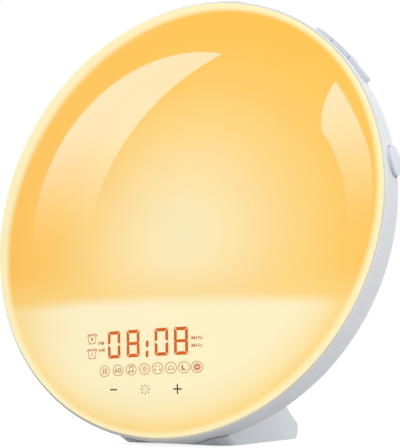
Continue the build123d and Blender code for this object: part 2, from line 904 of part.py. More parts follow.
# ---------------------------------------------------------------- light board
with BuildPart() as light_board:
    with BuildSketch(at_depth(tray_floor_depth)):
        Circle(light_board_radius)
        with Locations((0, -light_cut_drop - light_board_radius)):
            Rectangle(2 * light_board_radius, 2 * light_board_radius, mode=Mode.SUBTRACT)
        with Locations(*round_places(light_screw_circle, light_screw_angles)):
            Circle(board_screw_radius + fit_gap, mode=Mode.SUBTRACT)
    extrude(amount=board_thickness)
save(light_board.part, "light_board")

with BuildPart() as warm_leds:
    with BuildSketch(at_depth(light_front)):
        for inset, count in zip(led_ring_insets, led_ring_counts):
            for place in round_places(light_board_radius - inset, ring_angles(count)):
                if place[1] > led_size - light_cut_drop:
                    with Locations(place):
                        Rectangle(led_size, led_size)
    extrude(amount=led_height)
save(warm_leds.part, "warm_leds")

with BuildPart() as colour_leds:
    with BuildSketch(at_depth(light_front)):
        with Locations(*round_places(light_board_radius - colour_led_inset, ring_angles(colour_led_count))):
            Rectangle(colour_led_size, colour_led_size)
    extrude(amount=colour_led_height)
save(colour_leds.part, "colour_leds")

with BuildPart() as light_link:
    with BuildSketch(at_depth(main_front)):
        with Locations((0, -link_drop)):
            Rectangle(link_width, link_height)
    extrude(amount=main_front - tray_floor_depth)
save(light_link.part, "light_link")

# ---------------------------------------------------------------- display
with BuildPart() as display_board:
    with BuildSketch(at_depth(tray_flange_depth)):
        Circle(display_edge_radius)
        with Locations((0, -horizon_drop - display_top - display_edge_radius)):
            Rectangle(2 * display_half_width, 2 * display_edge_radius, mode=Mode.INTERSECT)
        with Locations(*display_screw_holes):
            Circle(board_screw_radius + fit_gap, mode=Mode.SUBTRACT)
    extrude(amount=board_thickness)
save(display_board.part, "display_board")

digit_side = digit_width - segment_width
digit_half = (digit_height - segment_width) / 2
bar_places = [(0, digit_half), (0, 0), (0, -digit_half)]
post_places = [
    (x, y) for x in (-digit_side / 2, digit_side / 2) for y in (-digit_half / 2, digit_half / 2)
]
digit_drop = horizon_drop + digit_row
digit_centres = [(offset_x, -digit_drop) for offset_x in digit_offsets]
first_icon = icon_shift - icon_pitch * (icon_count - 1) / 2
icon_places = [
    (first_icon + icon_pitch * index, -horizon_drop - icon_row) for index in range(icon_count)
]
dot_places = [(colon_offset, -digit_drop + rise) for rise in (-colon_spread / 2, colon_spread / 2)]
word_places = [(offset_x, -horizon_drop - row) for offset_x in word_offsets for row in word_rows]
alarm_places = [(alarm_offset, -horizon_drop - row) for row in alarm_rows]

with BuildSketch() as light_wells:
    for centre_x, centre_y in digit_centres:
        with Locations(*[(centre_x + x, centre_y + y) for x, y in bar_places]):
            Rectangle(digit_side - segment_width - segment_gap, segment_width)
        with Locations(*[(centre_x + x, centre_y + y) for x, y in post_places]):
            Rectangle(segment_width, digit_half - segment_width - segment_gap)
    with Locations(*dot_places):
        Rectangle(segment_width, segment_width)
    with Locations(*word_places):
        Rectangle(word_width, word_height)
    with Locations(*alarm_places):
        Circle(alarm_radius)
    with Locations(*icon_places):
        Circle(icon_radius)

with BuildPart() as display_shroud:
    with BuildSketch(at_depth(display_front)):
        with Locations((0, -horizon_drop - (shroud_top + shroud_bottom) / 2)):
            Rectangle(2 * shroud_half_width, shroud_bottom - shroud_top)
        add(light_wells.sketch, mode=Mode.SUBTRACT)
    extrude(amount=dome_height)
    add(chamber_solid(dome_gap), mode=Mode.INTERSECT)
save(display_shroud.part, "display_shroud")

with BuildPart() as display_leds:
    with BuildSketch(at_depth(display_front)):
        for centre_x, centre_y in digit_centres:
            with Locations(*[(centre_x + x, centre_y + y) for x, y in bar_places + post_places]):
                Rectangle(display_led_size, display_led_size)
        with Locations(*dot_places, *word_places, *alarm_places, *icon_places):
            Rectangle(display_led_size, display_led_size)
    extrude(amount=display_led_height)
save(display_leds.part, "display_leds")

with BuildPart() as touch_pads:
    with BuildSketch(at_depth(display_front)):
        with Locations((0, -horizon_drop - touch_row)):
            with GridLocations(touch_pitch, touch_pitch, 3, 1):
                Circle(touch_radius)
    extrude(amount=dome_height)
    add(chamber_solid(touch_gap), mode=Mode.INTERSECT)
save(touch_pads.part, "touch_pads")

with BuildPart() as display_ribbon:
    with BuildSketch(at_depth(main_front)):
        with Locations((0, -ribbon_drop)):
            Rectangle(ribbon_width, ribbon_thickness)
    extrude(amount=main_front - tray_flange_depth)
save(display_ribbon.part, "display_ribbon")

# ---------------------------------------------------------------- main board
with BuildPart() as main_board:
    with BuildSketch(at_depth(main_back)):
        with Locations((0, -main_board_drop)):
            Rectangle(main_board_width, main_board_height)
            with GridLocations(
                main_board_width - 2 * standoff_inset, main_board_height - 2 * standoff_inset, 2, 2
            ):
                Circle(board_screw_radius + fit_gap, mode=Mode.SUBTRACT)
    extrude(amount=board_thickness)
save(main_board.part, "main_board")

with BuildPart() as board_chips:
    with BuildSketch(at_depth(main_back)):
        for offset_x, drop, width, height in chip_places:
            with Locations((offset_x, -main_board_drop - drop)):
                Rectangle(width, height)
    extrude(amount=-chip_height)
save(board_chips.part, "board_chips")

with BuildPart() as board_capacitors:
    with BuildSketch(at_depth(main_back)):
        for offset_x, drop in capacitor_places:
            with Locations((offset_x, -main_board_drop - drop)):
                Circle(capacitor_radius)
    extrude(amount=-capacitor_height)
save(board_capacitors.part, "board_capacitors")

with BuildPart() as board_connectors:
    with BuildSketch(at_depth(main_back)):
        for offset_x, drop in connector_places:
            with Locations((offset_x, -main_board_drop - drop)):
                Rectangle(connector_width, connector_height)
    extrude(amount=-connector_thickness)
save(board_connectors.part, "board_connectors")

with BuildPart() as radio_shield:
    with BuildSketch(at_depth(main_back)):
        with Locations((radio_place[0], -main_board_drop - radio_place[1])):
            Rectangle(radio_width, radio_height)
    extrude(amount=-radio_thickness)
save(radio_shield.part, "radio_shield")

# ---------------------------------------------------------------- loudspeaker
with BuildPart() as speaker_gasket:
    add(ring(gasket_inner_radius, speaker_radius, gasket_front, cover_inside, speaker_centre))
save(speaker_gasket.part, "speaker_gasket")

with BuildPart() as speaker_basket:
    add(
        turned(
            [
                (basket_mouth_radius, -gasket_front),
                (speaker_radius, -gasket_front),
                (speaker_radius, -flange_front),
                (basket_mouth_radius + basket_wall, -flange_front),
                (basket_mouth_radius + basket_wall, basket_mouth_length - gasket_front),
                (magnet_radius, -basket_front),
                (pole_hole_radius, -basket_front),
                (pole_hole_radius, -basket_front - basket_wall),
                (magnet_radius - basket_wall, -basket_front - basket_wall),
                (basket_mouth_radius, basket_mouth_length - gasket_front - basket_wall / 2),
            ],
            speaker_centre,
        )
    )
save(speaker_basket.part, "speaker_basket")

surround_inner = cone_radius + surround_gap
surround_outer = basket_mouth_radius - fit_gap
surround_middle = (surround_inner + surround_outer) / 2
with BuildPart() as speaker_surround:
    with BuildSketch(section(speaker_centre)):
        with BuildLine():
            ThreePointArc(
                (surround_inner, -cone_mouth_depth),
                (surround_middle, surround_rise - cone_mouth_depth),
                (surround_outer, -cone_mouth_depth),
            )
            Line((surround_outer, -cone_mouth_depth), (surround_outer, -cone_mouth_depth - surround_wall))
            ThreePointArc(
                (surround_outer, -cone_mouth_depth - surround_wall),
                (surround_middle, surround_rise - cone_mouth_depth - surround_wall),
                (surround_inner, -cone_mouth_depth - surround_wall),
            )
            Line((surround_inner, -cone_mouth_depth - surround_wall), (surround_inner, -cone_mouth_depth))
        make_face()
    revolve(axis=Axis(speaker_centre, face_normal))
save(speaker_surround.part, "speaker_surround")

with BuildPart() as speaker_magnet:
    add(ring(pole_hole_radius, magnet_radius, magnet_front, basket_front, speaker_centre))
save(speaker_magnet.part, "speaker_magnet")

with BuildPart() as speaker_yoke:
    add(ring(0, magnet_radius, yoke_front, magnet_front, speaker_centre))
    add(ring(0, pole_radius, magnet_front, basket_front + basket_wall, speaker_centre))
save(speaker_yoke.part, "speaker_yoke")

with BuildPart() as voice_coil:
    coil_front = coil_top_depth - coil_length
    add(ring(coil_radius, coil_radius + coil_wall, coil_front, coil_top_depth, speaker_centre))
save(voice_coil.part, "voice_coil")

with BuildPart() as speaker_cone:
    add(
        turned(
            [
                (coil_radius, -coil_top_depth),
                (coil_radius + cone_neck, -coil_top_depth),
                (cone_radius, -cone_mouth_depth),
                (cone_radius, -cone_mouth_depth - cone_wall),
                (coil_radius, -coil_top_depth - cone_wall),
            ],
            speaker_centre,
        )
    )
save(speaker_cone.part, "speaker_cone")

cone_slope = (cone_mouth_depth - coil_top_depth) / (cone_radius - coil_radius)
cap_depth = coil_top_depth + cone_wall + (dust_cap_radius - coil_radius) * cone_slope + dust_cap_lift
dust_cap_sphere = cap_sphere(dust_cap_radius, dust_cap_height)
cap_middle_drop = dust_cap_height - cap_drop(dust_cap_sphere, dust_cap_radius / 2)
with BuildPart() as dust_cap:
    with BuildSketch(section(speaker_centre)):
        with BuildLine():
            ThreePointArc(
                (dust_cap_radius, -cap_depth),
                (dust_cap_radius / 2, -cap_depth - cap_middle_drop),
                (0, -cap_depth - dust_cap_height),
            )
            Line((0, -cap_depth - dust_cap_height), (0, -cap_depth - dust_cap_height - dust_cap_wall))
            ThreePointArc(
                (0, -cap_depth - dust_cap_height - dust_cap_wall),
                (dust_cap_radius / 2, -cap_depth - cap_middle_drop - dust_cap_wall),
                (dust_cap_radius, -cap_depth - dust_cap_wall),
            )
            Line((dust_cap_radius, -cap_depth - dust_cap_wall), (dust_cap_radius, -cap_depth))
        make_face()
    revolve(axis=Axis(speaker_centre, face_normal))
save(dust_cap.part, "dust_cap")

# each lead runs back from the main board and up to the basket
basket_slope = (basket_mouth_radius + basket_wall - magnet_radius) / (basket_length - basket_mouth_length)
basket_radius_at_lead = magnet_radius + (lead_run_depth - basket_front) * basket_slope
lead_end = sqrt((basket_radius_at_lead + lead_radius) ** 2 - lead_half_pitch**2) - speaker_rise
with BuildPart() as speaker_leads:
    for side in (-lead_half_pitch, lead_half_pitch):
        with BuildLine() as route:
            FilletPolyline(
                face_place(side, lead_board_drop, main_back),
                face_place(side, lead_board_drop, lead_run_depth),
                face_place(side, lead_end, lead_run_depth),
                radius=lead_bend,
            )
        with BuildSketch(Plane(origin=route.line @ 0, z_dir=route.line % 0)):
            Circle(lead_radius)
        sweep(path=route.line)
save(speaker_leads.part, "speaker_leads")

# ---------------------------------------------------------------- inlet
with BuildPart() as dc_inlet:
    with BuildSketch(from_behind(inlet_front)):
        with Locations(inlet_place):
            Circle(inlet_radius)
    extrude(amount=inlet_length)
    with BuildSketch(from_behind(pocket_floor_depth)):
        with Locations(inlet_place):
            Circle(inlet_collar_radius)
    extrude(amount=inlet_collar)
    with BuildSketch(from_behind(pocket_floor_depth + inlet_collar)):
        with Locations(inlet_place):
            Circle(inlet_bore_radius)
    extrude(amount=-inlet_bore_depth, mode=Mode.SUBTRACT)
save(dc_inlet.part, "dc_inlet")

with BuildPart() as inlet_pin:
    with BuildSketch(from_behind(pocket_floor_depth + inlet_collar - inlet_bore_depth)):
        with Locations(inlet_place):
            Circle(inlet_pin_radius)
    extrude(amount=inlet_bore_depth - inlet_pin_setback)
save(inlet_pin.part, "inlet_pin")

with BuildPart() as inlet_nut:
    with BuildSketch(at_depth(pocket_inside)):
        with Locations(inlet_place):
            RegularPolygon(inlet_nut_radius, 6)
            Circle(inlet_radius + fit_gap / 2, mode=Mode.SUBTRACT)
    extrude(amount=inlet_nut_thickness)
save(inlet_nut.part, "inlet_nut")

with BuildPart() as inlet_leads:
    with BuildSketch(from_behind(main_back)):
        with Locations((inlet_lead_half_pitch, -inlet_drop), (-inlet_lead_half_pitch, -inlet_drop)):
            Circle(lead_radius)
    extrude(amount=inlet_front - main_back)
save(inlet_leads.part, "inlet_leads")

# ---------------------------------------------------------------- clock battery
holder_inner = door_radius + 2 * move_gap
holder_front = cover_inside - holder_depth
contact_front = holder_front + contact_thickness
with BuildPart() as battery_holder:
    add(ring(holder_inner, holder_inner + holder_wall, holder_front, cover_inside, battery_centre))
    add(ring(0, holder_inner + holder_wall, holder_front - holder_floor, holder_front, battery_centre))
    add(
        ring(
            cell_radius + fit_gap,
            cell_radius + fit_gap + holder_wall,
            holder_front,
            holder_front + holder_ring_height,
            battery_centre,
        )
    )
    with BuildSketch(from_behind(holder_front)):
        with Locations((-battery_offset, -battery_drop + cell_radius + holder_wall)):
            Rectangle(contact_width + 2 * fit_gap, 2 * holder_wall)
    extrude(amount=holder_ring_height, mode=Mode.SUBTRACT)
save(battery_holder.part, "battery_holder")

with BuildPart() as battery_contacts:
    with BuildSketch(from_behind(holder_front)):
        with Locations((-battery_offset, -battery_drop)):
            Rectangle(contact_width, contact_length)
    extrude(amount=contact_thickness)
    with BuildSketch(from_behind(holder_front)):
        with Locations((-battery_offset, -battery_drop + cell_radius + fit_gap + contact_thickness / 2)):
            Rectangle(contact_width, contact_thickness)
    extrude(amount=contact_height)
save(battery_contacts.part, "battery_contacts")

with BuildPart() as coin_cell:
    add(ring(0, cell_radius, contact_front, contact_front + cell_thickness, battery_centre))
save(coin_cell.part, "coin_cell")

tab_back = cover_inside - move_gap
with BuildPart() as battery_door:
    add(ring(0, door_radius, back_depth - door_lid, back_depth, battery_centre))
    add(ring(0, door_neck_radius, tab_back - door_tab_height, back_depth - door_lid, battery_centre))
    with BuildSketch(from_behind(tab_back - door_tab_height)):
        with Locations((-battery_offset, -battery_drop)):
            Circle(door_neck_radius + door_tab_reach)
            Rectangle(4 * door_radius, door_tab_width, mode=Mode.INTERSECT)
    extrude(amount=door_tab_height)
    with BuildSketch(from_behind(back_depth)):
        with Locations((-battery_offset, -battery_drop)):
            Rectangle(coin_slot_length, coin_slot_width)
    extrude(amount=-coin_slot_depth, mode=Mode.SUBTRACT)
save(battery_door.part, "battery_door")

with BuildPart() as battery_leads:
    with BuildSketch(from_behind(main_back)):
        with Locations(
            (-battery_offset - battery_lead_half_pitch, -battery_drop),
            (-battery_offset + battery_lead_half_pitch, -battery_drop),
        ):
            Circle(lead_radius)
    extrude(amount=holder_front - holder_floor - main_back)
save(battery_leads.part, "battery_leads")

# ---------------------------------------------------------------- foot
side_plane = Plane(origin=(0, 0, 0), x_dir=(0, 1, 0), z_dir=(1, 0, 0))
rear_knee = (foot_half_length + foot_rear_bulge, foot_rear_height)
curve_middle = (rear_knee[0] - foot_curve_middle[0], rear_knee[1] + foot_curve_middle[1])
curve_end = (rear_knee[0] - foot_curve_end[0], rear_knee[1] + foot_curve_end[1])
foot_top = centre_height / 2
with BuildSketch() as foot_side:
    with BuildLine():
        Polyline(
            curve_end,
            (curve_end[0], foot_top),
            (-2 * foot_half_length, foot_top),
            (-2 * foot_half_length, pad_proud),
            (foot_half_length, pad_proud),
        )
        ThreePointArc(
            (foot_half_length, pad_proud),
            (foot_half_length + foot_rear_belly[0], foot_rear_belly[1]),
            rear_knee,
        )
        ThreePointArc(rear_knee, curve_middle, curve_end)
    make_face()

# prism that leans forward with the foot's undercut front
front_slant = sqrt(foot_front_lean**2 + foot_front_rise**2) / foot_front_rise
front_outline_rear = 2 * foot_half_length + foot_top * foot_front_lean / foot_front_rise
with BuildPart() as foot_front:
    with BuildSketch(Plane.XY.offset(pad_proud)) as front_outline:
        with BuildLine():
            ThreePointArc(
                (-foot_half_width, -foot_half_length),
                (0, foot_front_bow - foot_half_length),
                (foot_half_width, -foot_half_length),
            )
            Polyline(
                (foot_half_width, -foot_half_length),
                (foot_half_width, front_outline_rear),
                (-foot_half_width, front_outline_rear),
                (-foot_half_width, -foot_half_length),
            )
        make_face()
        fillet(front_outline.vertices().group_by(Axis.Y)[0], foot_front_corner)
    extrude(amount=foot_top * front_slant, dir=(0, -foot_front_lean, foot_front_rise))

with BuildPart() as foot_hollow:
    with BuildSketch(side_plane):
        add(foot_side.sketch)
        offset(amount=-foot_wall, kind=Kind.INTERSECTION)
        Rectangle(2 * foot_cavity_front, 2 * foot_rear_height)
        with Locations((-foot_cavity_front, 0)):
            Rectangle(
                2 * foot_top, 2 * centre_height, align=(Align.MAX, Align.CENTER), mode=Mode.SUBTRACT
            )
    extrude(amount=foot_half_width - foot_wall, both=True)
    add(housing_solid(fit_gap + foot_wall), mode=Mode.SUBTRACT)

plate_half_width = foot_half_width - foot_plate_inset
with BuildPart() as stand_foot:
    with BuildSketch(side_plane):
        add(foot_side.sketch)
    extrude(amount=foot_half_width, both=True)
    add(foot_front.part, mode=Mode.INTERSECT)
    add(foot_hollow.part, mode=Mode.SUBTRACT)
    with BuildSketch(Plane.XY.offset(pad_proud)):
        RectangleRounded(
            2 * (plate_half_width + fit_gap), 2 * (foot_plate_half_length + fit_gap), foot_plate_corner
        )
    extrude(amount=foot_plate_thickness, mode=Mode.SUBTRACT)
    for angle in foot_screw_angles:
        with BuildSketch(foot_screw_plane(angle, 0)):
            Circle(foot_boss_radius)
        extrude(amount=foot_boss_length)
    add(housing_solid(fit_gap), mode=Mode.SUBTRACT)
    split(bisect_by=at_depth(foot_setback), keep=Keep.BOTTOM)
    for angle in foot_screw_angles:
        with BuildSketch(foot_screw_plane(angle, 0)):
            Circle(screw_radius + fit_gap)
        extrude(amount=foot_screw_length - housing_wall + pilot_spare, mode=Mode.SUBTRACT)
save(stand_foot.part, "stand_foot")

pad_width = 2 * (plate_half_width - pad_margin)
pad_length = 2 * (foot_plate_half_length - pad_margin)
with BuildPart() as foot_plate:
    with BuildSketch(Plane.XY.offset(pad_proud)):
        RectangleRounded(2 * plate_half_width, 2 * foot_plate_half_length, foot_plate_corner)
    extrude(amount=foot_plate_thickness)
    with BuildSketch(Plane.XY.offset(pad_proud)):
        RectangleRounded(pad_width + 2 * fit_gap, pad_length + 2 * fit_gap, foot_plate_corner)
    extrude(amount=pad_thickness - pad_proud, mode=Mode.SUBTRACT)
save(foot_plate.part, "foot_plate")

with BuildPart() as rubber_pad:
    with BuildSketch(Plane.XY):
        RectangleRounded(pad_width, pad_length, foot_plate_corner)
    extrude(amount=pad_thickness)
save(rubber_pad.part, "rubber_pad")


# ---------------------------------------------------------------- screws
def front_seat(place, depth):
    """Seat of a screw that goes in from the front."""
    return Plane(origin=face_place(place[0], -place[1], depth), x_dir=(1, 0, 0), z_dir=face_normal)


def rear_seat(place, depth):
    """Seat of a screw that goes in from behind."""
    return Plane(origin=face_place(place[0], -place[1], depth), x_dir=(1, 0, 0), z_dir=-face_normal)


with BuildPart() as tray_screws:
    for place in round_places(post_circle, post_angles):
        add(screw(front_seat(place, tray_flange_depth), tray_screw_length))
save(tray_screws.part, "tray_screws")

with BuildPart() as cover_screws:
    for place in cone_post_places:
        add(screw(rear_seat(place, cover_seat_depth), cover_screw_length))
save(cover_screws.part, "cover_screws")

with BuildPart() as speaker_screws:
    for place in speaker_places:
        add(
            screw(
                front_seat(place, flange_front),
                speaker_screw_length,
                head_radius=speaker_head_radius,
            )
        )
save(speaker_screws.part, "speaker_screws")

with BuildPart() as foot_screws:
    for angle in foot_screw_angles:
        seat = foot_screw_plane(angle, -housing_wall - fit_gap / 2)
        add(screw(Plane(origin=seat.origin, z_dir=-seat.z_dir), foot_screw_length))
save(foot_screws.part, "foot_screws")

standoff_x = main_board_width / 2 - standoff_inset
standoff_y = main_board_height / 2 - standoff_inset
with BuildPart() as board_screws:
    for place in round_places(light_screw_circle, light_screw_angles):
        add(board_screw(front_seat(place, light_front), board_thickness))
    for place in display_screw_holes:
        add(board_screw(front_seat(place, display_front), board_thickness))
    for x in (-standoff_x, standoff_x):
        for y in (-standoff_y, standoff_y):
            add(board_screw(rear_seat((x, y - main_board_drop), main_back), board_thickness))
    for bank in banks.values():
        for reach, across in pillar_places(bank):
            seat = bank_plane(bank, switch_board_inner)
            add(
                board_screw(
                    Plane(origin=seat.from_local_coords((reach, across, 0)), z_dir=-seat.z_dir),
                    switch_board_thickness,
                )
            )
save(board_screws.part, "board_screws")
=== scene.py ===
"""The looks of a sunrise alarm clock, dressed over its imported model."""

import json
import math

import bmesh
import bpy
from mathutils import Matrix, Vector


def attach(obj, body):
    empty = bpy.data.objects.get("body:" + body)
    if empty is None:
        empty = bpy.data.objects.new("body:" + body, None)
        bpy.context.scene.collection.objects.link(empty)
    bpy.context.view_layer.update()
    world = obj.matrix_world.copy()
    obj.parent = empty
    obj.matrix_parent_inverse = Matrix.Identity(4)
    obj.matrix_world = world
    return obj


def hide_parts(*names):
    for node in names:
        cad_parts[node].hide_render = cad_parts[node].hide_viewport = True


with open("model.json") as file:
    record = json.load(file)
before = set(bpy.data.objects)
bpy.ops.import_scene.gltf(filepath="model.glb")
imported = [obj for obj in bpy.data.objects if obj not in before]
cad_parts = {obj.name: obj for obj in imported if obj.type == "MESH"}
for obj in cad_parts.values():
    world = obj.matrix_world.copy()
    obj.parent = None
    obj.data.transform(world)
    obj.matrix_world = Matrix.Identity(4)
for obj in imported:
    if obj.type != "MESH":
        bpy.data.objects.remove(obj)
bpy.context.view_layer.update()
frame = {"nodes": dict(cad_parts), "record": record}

# Sizes of the lamp, in metres, in the model's own frame
MM = 0.001
LEAN = math.radians(9.3)
LAMP_CENTRE = Vector((0.0, -0.024, 0.088))
FACE_RIGHT = Vector((1.0, 0.0, 0.0))
FACE_UP = Vector((0.0, math.sin(LEAN), math.cos(LEAN)))
FACE_NORMAL = Vector((0.0, -math.cos(LEAN), math.sin(LEAN)))
DOME_EDGE = 0.082           # radius at which the dome meets its rolled rim
DOME_HEIGHT = 0.0156
RIM_DROP = 0.0032           # height of the rolled rim
RIM_RADIUS = 0.086
DOME_RISE = DOME_HEIGHT - RIM_DROP
DOME_SPHERE = (DOME_EDGE**2 + DOME_RISE**2) / (2 * DOME_RISE)
SKIRT_OUTER = 0.0848        # the skirt behind the rim, which slips into the housing
SKIRT_LENGTH = 0.0027
SKIRT_WALL = 0.0016
DIFFUSER_WALL = 0.0022
HORIZON = -0.0373           # where the lit sky ends and the display begins

# The camera, fitted to the photograph
PICTURE_HEIGHT = 448        # pixels
FOCAL_PIXELS = 1172.3
SENSOR_HEIGHT = 36.0
CAMERA_PLACE = Vector((0.2423, -0.3988, 0.0293))
CAMERA_AIM = Vector((-0.5207, 0.8452, 0.1201))


def lamp_point(x, y, z):
    """A point given in the lamp's own frame: right, up and out of the face."""
    return LAMP_CENTRE + FACE_RIGHT * x + FACE_UP * y + FACE_NORMAL * z


def dome_height_at(x, y, lift=0.0):
    """Height of the dome over the face's plane."""
    return DOME_HEIGHT - DOME_SPHERE + math.sqrt((DOME_SPHERE + lift) ** 2 - x * x - y * y)


def dome_point(x, y, lift=0.0):
    return lamp_point(x, y, dome_height_at(x, y, lift))


def dome_normal(x, y):
    middle = lamp_point(0, 0, DOME_HEIGHT - DOME_SPHERE)
    return (dome_point(x, y) - middle).normalized()


# ---------------------------------------------------------------- materials


def srgb(text):
    """A hexadecimal screen colour as linear light."""
    parts = [int(text[i : i + 2], 16) / 255 for i in (0, 2, 4)]
    return tuple(c / 12.92 if c <= 0.04045 else ((c + 0.055) / 1.055) ** 2.4 for c in parts)


def opaque(colour):
    return (*colour, 1.0)


def scaled(colour, factor):
    return tuple(channel * factor for channel in colour)


class Finish:
    """A material round one Principled shader, with short calls for the nodes that feed it."""

    def __init__(self, name):
        self.material = bpy.data.materials.new(name)
        self.material.use_nodes = True
        self.tree = self.material.node_tree
        self.surface = self.tree.nodes["Principled BSDF"]
        self.place = self.add("ShaderNodeTexCoord").outputs["Object"]

    def add(self, kind, **settings):
        node = self.tree.nodes.new(kind)
        for key, value in settings.items():
            setattr(node, key, value)
        return node

    def feed(self, socket, value):
        if isinstance(value, bpy.types.NodeSocket):
            self.tree.links.new(value, socket)
        elif isinstance(value, tuple) and len(value) == 3 and socket.type == "RGBA":
            socket.default_value = opaque(value)
        else:
            socket.default_value = value

    def set(self, **values):
        """Feeds sockets of the shader: base_color=..., roughness=... and so on."""
        for key, value in values.items():
            self.feed(self.surface.inputs[key.replace("_", " ").title().replace("Ior", "IOR")], value)

    def math(self, operation, first, second=0.0, third=0.0):
        node = self.add("ShaderNodeMath", operation=operation)
        for socket, value in zip(node.inputs, (first, second, third)):
            self.feed(socket, value)
        return node.outputs[0]

    def dot(self, vector, direction):
        node = self.add("ShaderNodeVectorMath", operation="DOT_PRODUCT")
        self.feed(node.inputs[0], vector)
        self.feed(node.inputs[1], tuple(direction))
        return node.outputs["Value"]

    def offset(self, vector, by):
        node = self.add("ShaderNodeVectorMath", operation="SUBTRACT")
        self.feed(node.inputs[0], vector)
        self.feed(node.inputs[1], tuple(by))
        return node.outputs["Vector"]

    def scale(self, vector, factors):
        node = self.add("ShaderNodeVectorMath", operation="MULTIPLY")
        self.feed(node.inputs[0], vector)
        self.feed(node.inputs[1], tuple(factors))
        return node.outputs["Vector"]

    def length(self, vector):
        node = self.add("ShaderNodeVectorMath", operation="LENGTH")
        self.feed(node.inputs[0], vector)
        return node.outputs["Value"]

    def vector(self, x, y, z=0.0):
        node = self.add("ShaderNodeCombineXYZ")
        for socket, value in zip(node.inputs, (x, y, z)):
            self.feed(socket, value)
        return node.outputs[0]

    def step(self, value, low, high, start=0.0, end=1.0):
        """A smooth step from start to end as value goes from low to high."""
        node = self.add("ShaderNodeMapRange", interpolation_type="SMOOTHSTEP")
        names = ("Value", "From Min", "From Max", "To Min", "To Max")
        for name, number in zip(names, (value, low, high, start, end)):
            self.feed(node.inputs[name], number)
        return node.outputs[0]

    def mix(self, factor, first, second, blend="MIX"):
        node = self.add("ShaderNodeMix", data_type="RGBA", blend_type=blend)
        self.feed(node.inputs["Factor"], factor)
        self.feed(node.inputs["A"], first)
        self.feed(node.inputs["B"], second)
        return node.outputs["Result"]

    def ramp(self, value, stops):
        node = self.add("ShaderNodeValToRGB")
        elements = node.color_ramp.elements
        while len(elements) < len(stops):
            elements.new(0.5)
        for element, (place, colour) in zip(elements, stops):
            element.position = place
            element.color = opaque(colour)
        self.feed(node.inputs[0], value)
        return node.outputs["Color"]

    def noise(self, scale, detail=3.0, roughness=0.5, place=None):
        """Noise whose scale is in cells per metre."""
        node = self.add("ShaderNodeTexNoise")
        self.feed(node.inputs["Vector"], place or self.place)
        node.inputs["Scale"].default_value = scale
        node.inputs["Detail"].default_value = detail
        node.inputs["Roughness"].default_value = roughness
        return node.outputs["Fac"]

    def cells(self, scale, feature="F1"):
        """Distances in a pattern of cells, as many per metre as scale says."""
        node = self.add("ShaderNodeTexVoronoi", feature=feature)
        self.feed(node.inputs["Vector"], self.place)
        node.inputs["Scale"].default_value = scale
        return node.outputs["Distance"]

    def bump(self, height, depth):
        """Adds relief of that depth in metres to the surface."""
        node = self.add("ShaderNodeBump")
        node.inputs["Distance"].default_value = depth
        self.feed(node.inputs["Height"], height)
        self.feed(self.surface.inputs["Normal"], node.outputs["Normal"])


def mottled(finish, colour, spread, scale):
    """A colour that drifts a little lighter and darker."""
    drift = finish.step(finish.noise(scale), 0.3, 0.7)
    return finish.mix(drift, scaled(colour, 1 - spread), scaled(colour, 1 + spread))


def moulded(name, colour, roughness=0.4, grain=2200, depth=0.000003, coat=0.0):
    """Injection-moulded plastic: a fine spark-eroded grain and faint drift of colour and gloss."""
    finish = Finish(name)
    base = mottled(finish, colour, 0.02, 35)
    gloss = finish.step(finish.noise(60), 0.25, 0.75, roughness - 0.04, roughness + 0.05)
    finish.set(
        base_color=base,
        roughness=gloss,
        specular_ior_level=0.5,
        coat_weight=coat,
        coat_roughness=0.18,
    )
    finish.bump(finish.noise(grain, 2.0), depth)
    return finish


def metal(name, colour, roughness=0.35, stretch=(1, 1, 30), grain=700):
    """Rolled or turned metal with fine lines and dull spots."""
    finish = Finish(name)
    lines = finish.noise(grain, 4.0, 0.6, finish.scale(finish.place, stretch))
    base = mottled(finish, colour, 0.08, 90)
    finish.set(
        base_color=base,
        metallic=1.0,
        roughness=finish.step(lines, 0.2, 0.8, roughness - 0.1, roughness + 0.12),
    )
    finish.bump(lines, 0.00002)
    return finish


def soft(name, colour, roughness=0.8, grain=900, depth=0.00006):
    """Rubber, foam or pressed paper."""
    finish = Finish(name)
    base = mottled(finish, colour, 0.18, 220)
    gloss = finish.step(finish.noise(300), 0.2, 0.8, roughness - 0.08, roughness + 0.08)
    finish.set(base_color=base, roughness=gloss)
    finish.bump(finish.cells(grain), depth)
    return finish


def board(name, colour, track):
    """Solder mask over copper tracks and pads."""
    finish = Finish(name)
    wires = finish.step(finish.cells(260, "DISTANCE_TO_EDGE"), 0.02, 0.06, 1.0, 0.0)
    vias = finish.step(finish.cells(420), 0.10, 0.14, 1.0, 0.0)
    lines = finish.math("MAXIMUM", wires, vias)
    finish.set(
        base_color=finish.mix(lines, mottled(finish, colour, 0.1, 120), track),
        roughness=finish.step(finish.noise(200), 0.2, 0.8, 0.25, 0.38),
        coat_weight=0.4,
        coat_roughness=0.1,
    )
    finish.bump(lines, 0.00003)
    return finish


def glowing(name, colour, light, strength):
    """A clear or tinted lens with light in it."""
    finish = Finish(name)
    shade = mottled(finish, light, 0.06, 150)
    finish.set(
        base_color=mottled(finish, colour, 0.05, 150),
        roughness=0.25,
        emission_color=shade,
        emission_strength=strength,
        specular_ior_level=0.2,
    )
    return finish


DIFFUSER_BODY_AND_GLOW = (0.16, 0.16, 0.16)   # the cover's base colour is the glow pattern dimmed to this share: partly its own colour, partly painted glow that shows by room light
DIFFUSER_GLOW = 0.88                 # the rest, which comes from the lamps behind it
DUSK_HEIGHT = 0.014                  # over which the sky pales towards the horizon
HORIZON_BLUR = 0.0032


